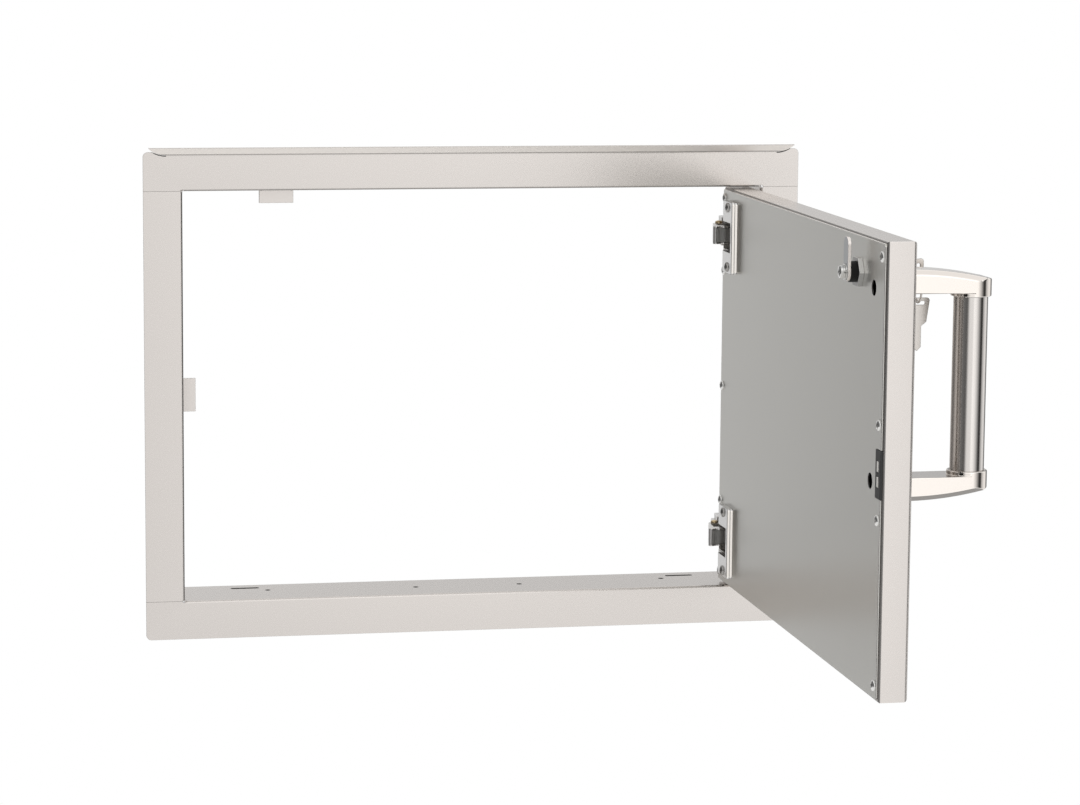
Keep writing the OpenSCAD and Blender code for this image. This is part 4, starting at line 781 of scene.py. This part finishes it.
rivet_places = [((rivet_x, rivet_y, hinge * hinge_z + side * arm_half), (0, 0, side), 0)
                for hinge, side in both_ways]
rivets = grown("hinge_rivets_piece", fastener, rivet_places,
               {"Head Radius": 0.0033, "Head Height": 0.0026, "Rim Height": 0.0010, "Shank Radius": 0.0022,
                "Shank Length": 0.0079, "Recess": False, "Finish": brass})
stands_for(rivets, "frame", "rivet_brass", "hinge_rivets")


# Handle
# A bar of 26.7 mm tube between two cast arms, polished and plated. The arms are screwed on
# from inside the door, and a set screw in each round end grips the tube.
arm_polish = brushed("arm_polish", (0.82, 0.765, 0.715), 0.09, "x", depth=0.03)
arm_line_painted_highlight = brushed("arm_line_painted_highlight", (0.92, 0.87, 0.82), 0.1, "x", depth=0.03)
arm_under_painted_shade = brushed("arm_under_painted_shade", (0.30, 0.285, 0.27), 0.2, "x", depth=0.03)
arm_inner = brushed("arm_inner", (0.46, 0.435, 0.415), 0.2, "x", depth=0.03)
for name in ("handle_upper_arm", "handle_lower_arm"):
    # The eased edges of the arms take a painted highlight, their undersides a painted shade, and the upper
    # face of the lower arm a painted shade too.
    piece = worked_copy(name, arm_polish, arm_line_painted_highlight, 0.0008, 3)
    painted(piece, arm_under_painted_shade, lambda centre, facing: facing.z < -clearly)
    if name == "handle_lower_arm":
        painted(piece, arm_inner, lambda centre, facing: facing.z > squarely)
    stands_for(piece, "door", "handle_arms", name)
tube_polish = brushed("tube_polish", (0.69, 0.657, 0.628), 0.13, "z", depth=0.04, spread=0.01)
stands_for(worked_copy("handle_tube", tube_polish, tube_polish, 0), "door", "handle_tube", "handle_tube")
skin_back_x = 0.2530
washer_t = 0.0016
handle_y, handle_z, handle_half = -0.460, 0.0656, 0.075
screw_places = [((skin_back_x - washer_t, handle_y, handle_z + way * handle_half), inward, turns[i])
                for i, way in enumerate((1, -1))]
handle_head = {"Head Radius": 0.005, "Head Height": 0.0032, "Rim Height": 0.001, "Shank Radius": 0.0025,
               "Shank Length": 0.020, "Recess Width": 0.0011, "Recess Reach": 0.003, "Recess Depth": 0.0017,
               "Finish": bright_screw_and_edge_highlight}
handle_screws = grown("handle_screws_piece", fastener, screw_places, handle_head)
stands_for(handle_screws, "door", "screw_steel", "handle_screws")
washer_places = [((skin_back_x - washer_t / 2, handle_y, handle_z + way * handle_half), (1, 0, 0), 0)
                 for way in (1, -1)]
handle_washers = grown("handle_washers_piece", turned_ring, washer_places,
                       {"Ring Radius": 0.0043, "Section Width": 0.0034, "Section Height": washer_t,
                        "Section Corner": 0.0002, "Finish": bright_screw_and_edge_highlight})
stands_for(handle_washers, "door", "screw_steel", "handle_washers")
black_oxide = brushed("black_oxide", (0.05, 0.05, 0.05), 0.35, "x", spread=0.1)
set_screws = worked_copy("handle_set_screws", black_oxide, black_oxide, 0)
stands_for(set_screws, "door", "set_screw", "handle_set_screws")


# Lock
# A cam lock: black barrel and head, a nickel plug and nut, and a steel cam that turns up
# behind the strike. The washers and a screw hold the cam on the square tail of the plug.
nickel = brushed("lock_nickel", (0.86, 0.845, 0.82), 0.22, "x", spread=0.02)
cam_metal = brushed("cam_metal", (0.86, 0.81, 0.77), 0.42, "z", spread=0.03)
cam_face_painted_shade = brushed("cam_face_painted_shade", (0.47, 0.48, 0.49), 0.3, "z", spread=0.03)
nut_nickel = brushed("nut_nickel", (0.76, 0.755, 0.74), 0.3, "x", spread=0.02)
nut_face_painted_shade = brushed("nut_face_painted_shade", (0.42, 0.415, 0.405), 0.35, "z", spread=0.03)
nut_shade = brushed("nut_shade", (0.42, 0.42, 0.415), 0.3, "x", spread=0.03)
barrel_black = brushed("barrel_black", (0.012, 0.012, 0.012), 0.5, "z", spread=0.1, metal=0.0)
barrel_black.node_tree.nodes["Principled BSDF"].inputs["Specular IOR Level"].default_value = 0.2
# The nut's eased edges take the bright screw steel as a painted highlight, and the washers' eased edges the
# dark hinge screw steel as a painted shade between them.
lock_edge_highlight_and_shade = {"lock_nut": bright_screw_and_edge_highlight, "lock_cam_washer": hinge_screw_and_edge_shade, "lock_spring_washer": hinge_screw_and_edge_shade}
for name, body_name, metal, finish in (("lock_body", "door", barrel_black, "lock_black"),
                                       ("lock_nut", "door", nut_nickel, "lock_nickel"),
                                       ("lock_plug", "lock_plug", nickel, "lock_nickel"),
                                       ("lock_cam", "lock_plug", cam_metal, "cam_steel"),
                                       ("lock_cam_washer", "lock_plug", bright_screw_and_edge_highlight, "screw_steel"),
                                       ("lock_spring_washer", "lock_plug", bright_screw_and_edge_highlight, "screw_steel")):
    piece = worked_copy(name, metal, lock_edge_highlight_and_shade.get(name, metal), 0.0002)
    if name == "lock_nut":
        # The inner face of the nut is a painted shade, as are its downward facets.
        painted(piece, nut_face_painted_shade, lambda centre, facing: facing.x < -squarely)
        painted(piece, nut_shade, lambda centre, facing: facing.z < -clearly)
    if name == "lock_cam":
        # The broad inner face of the cam takes a darker, cooler copy of its steel: a painted shade.
        painted(piece, cam_face_painted_shade, lambda centre, facing: facing.x < -squarely)
    stands_for(piece, body_name, finish, name)
cam_seat_x, lock_axis_y, lock_axis_z, cam_screw_turn = 0.21425, -0.421, 0.149, 0.5
cam_place = ((cam_seat_x, lock_axis_y, lock_axis_z), inward, cam_screw_turn)
cam_head = {**pan_head, "Head Radius": 0.005, "Head Height": 0.0029, "Rim Height": 0.0020,
            "Shank Radius": 0.0022, "Shank Length": 0.012}
cam_screw = grown("lock_cam_screw_piece", fastener, [cam_place], cam_head)
stands_for(cam_screw, "lock_plug", "screw_steel", "lock_cam_screw")


# Keys
# Two flat keys stamped from brass strip and nickel plated, one in the lock and one hanging
# from a wire ring that passes through both bows.
key_metal = brushed("key_metal", (0.62, 0.585, 0.55), 0.24, "z", spread=0.03)
key_edge_painted_shade = brushed("key_edge_painted_shade", (0.42, 0.395, 0.37), 0.3, "z", spread=0.03)
# The eased edges of the keys take a darker copy of the key metal: a painted shade.
for name, body_name in (("lock_key", "key"), ("key_ring", "ring"), ("spare_key", "spare")):
    stands_for(worked_copy(name, key_metal, key_edge_painted_shade, 0.0003), body_name, "key_steel", name)


# Catch
# A magnetic catch let into the back of the door: a black moulded housing that snaps behind
# the lip of the skin, with a magnet between two steel pole plates.
catch_black = brushed("catch_black", (0.022, 0.022, 0.022), 0.5, "z", spread=0.1, metal=0.0)
pole_metal = brushed("pole_metal", (0.76, 0.73, 0.69), 0.25, "z", spread=0.03)
ferrite = brushed("ferrite", (0.03, 0.03, 0.032), 0.6, "x", spread=0.2, metal=0.0)
for name, metal, finish in (("catch_housing", catch_black, "catch_plastic"),
                            ("catch_poles", pole_metal, "pole_steel"),
                            ("catch_magnet", ferrite, "magnet")):
    stands_for(worked_copy(name, metal, metal, 0.0003), "door", finish, name)
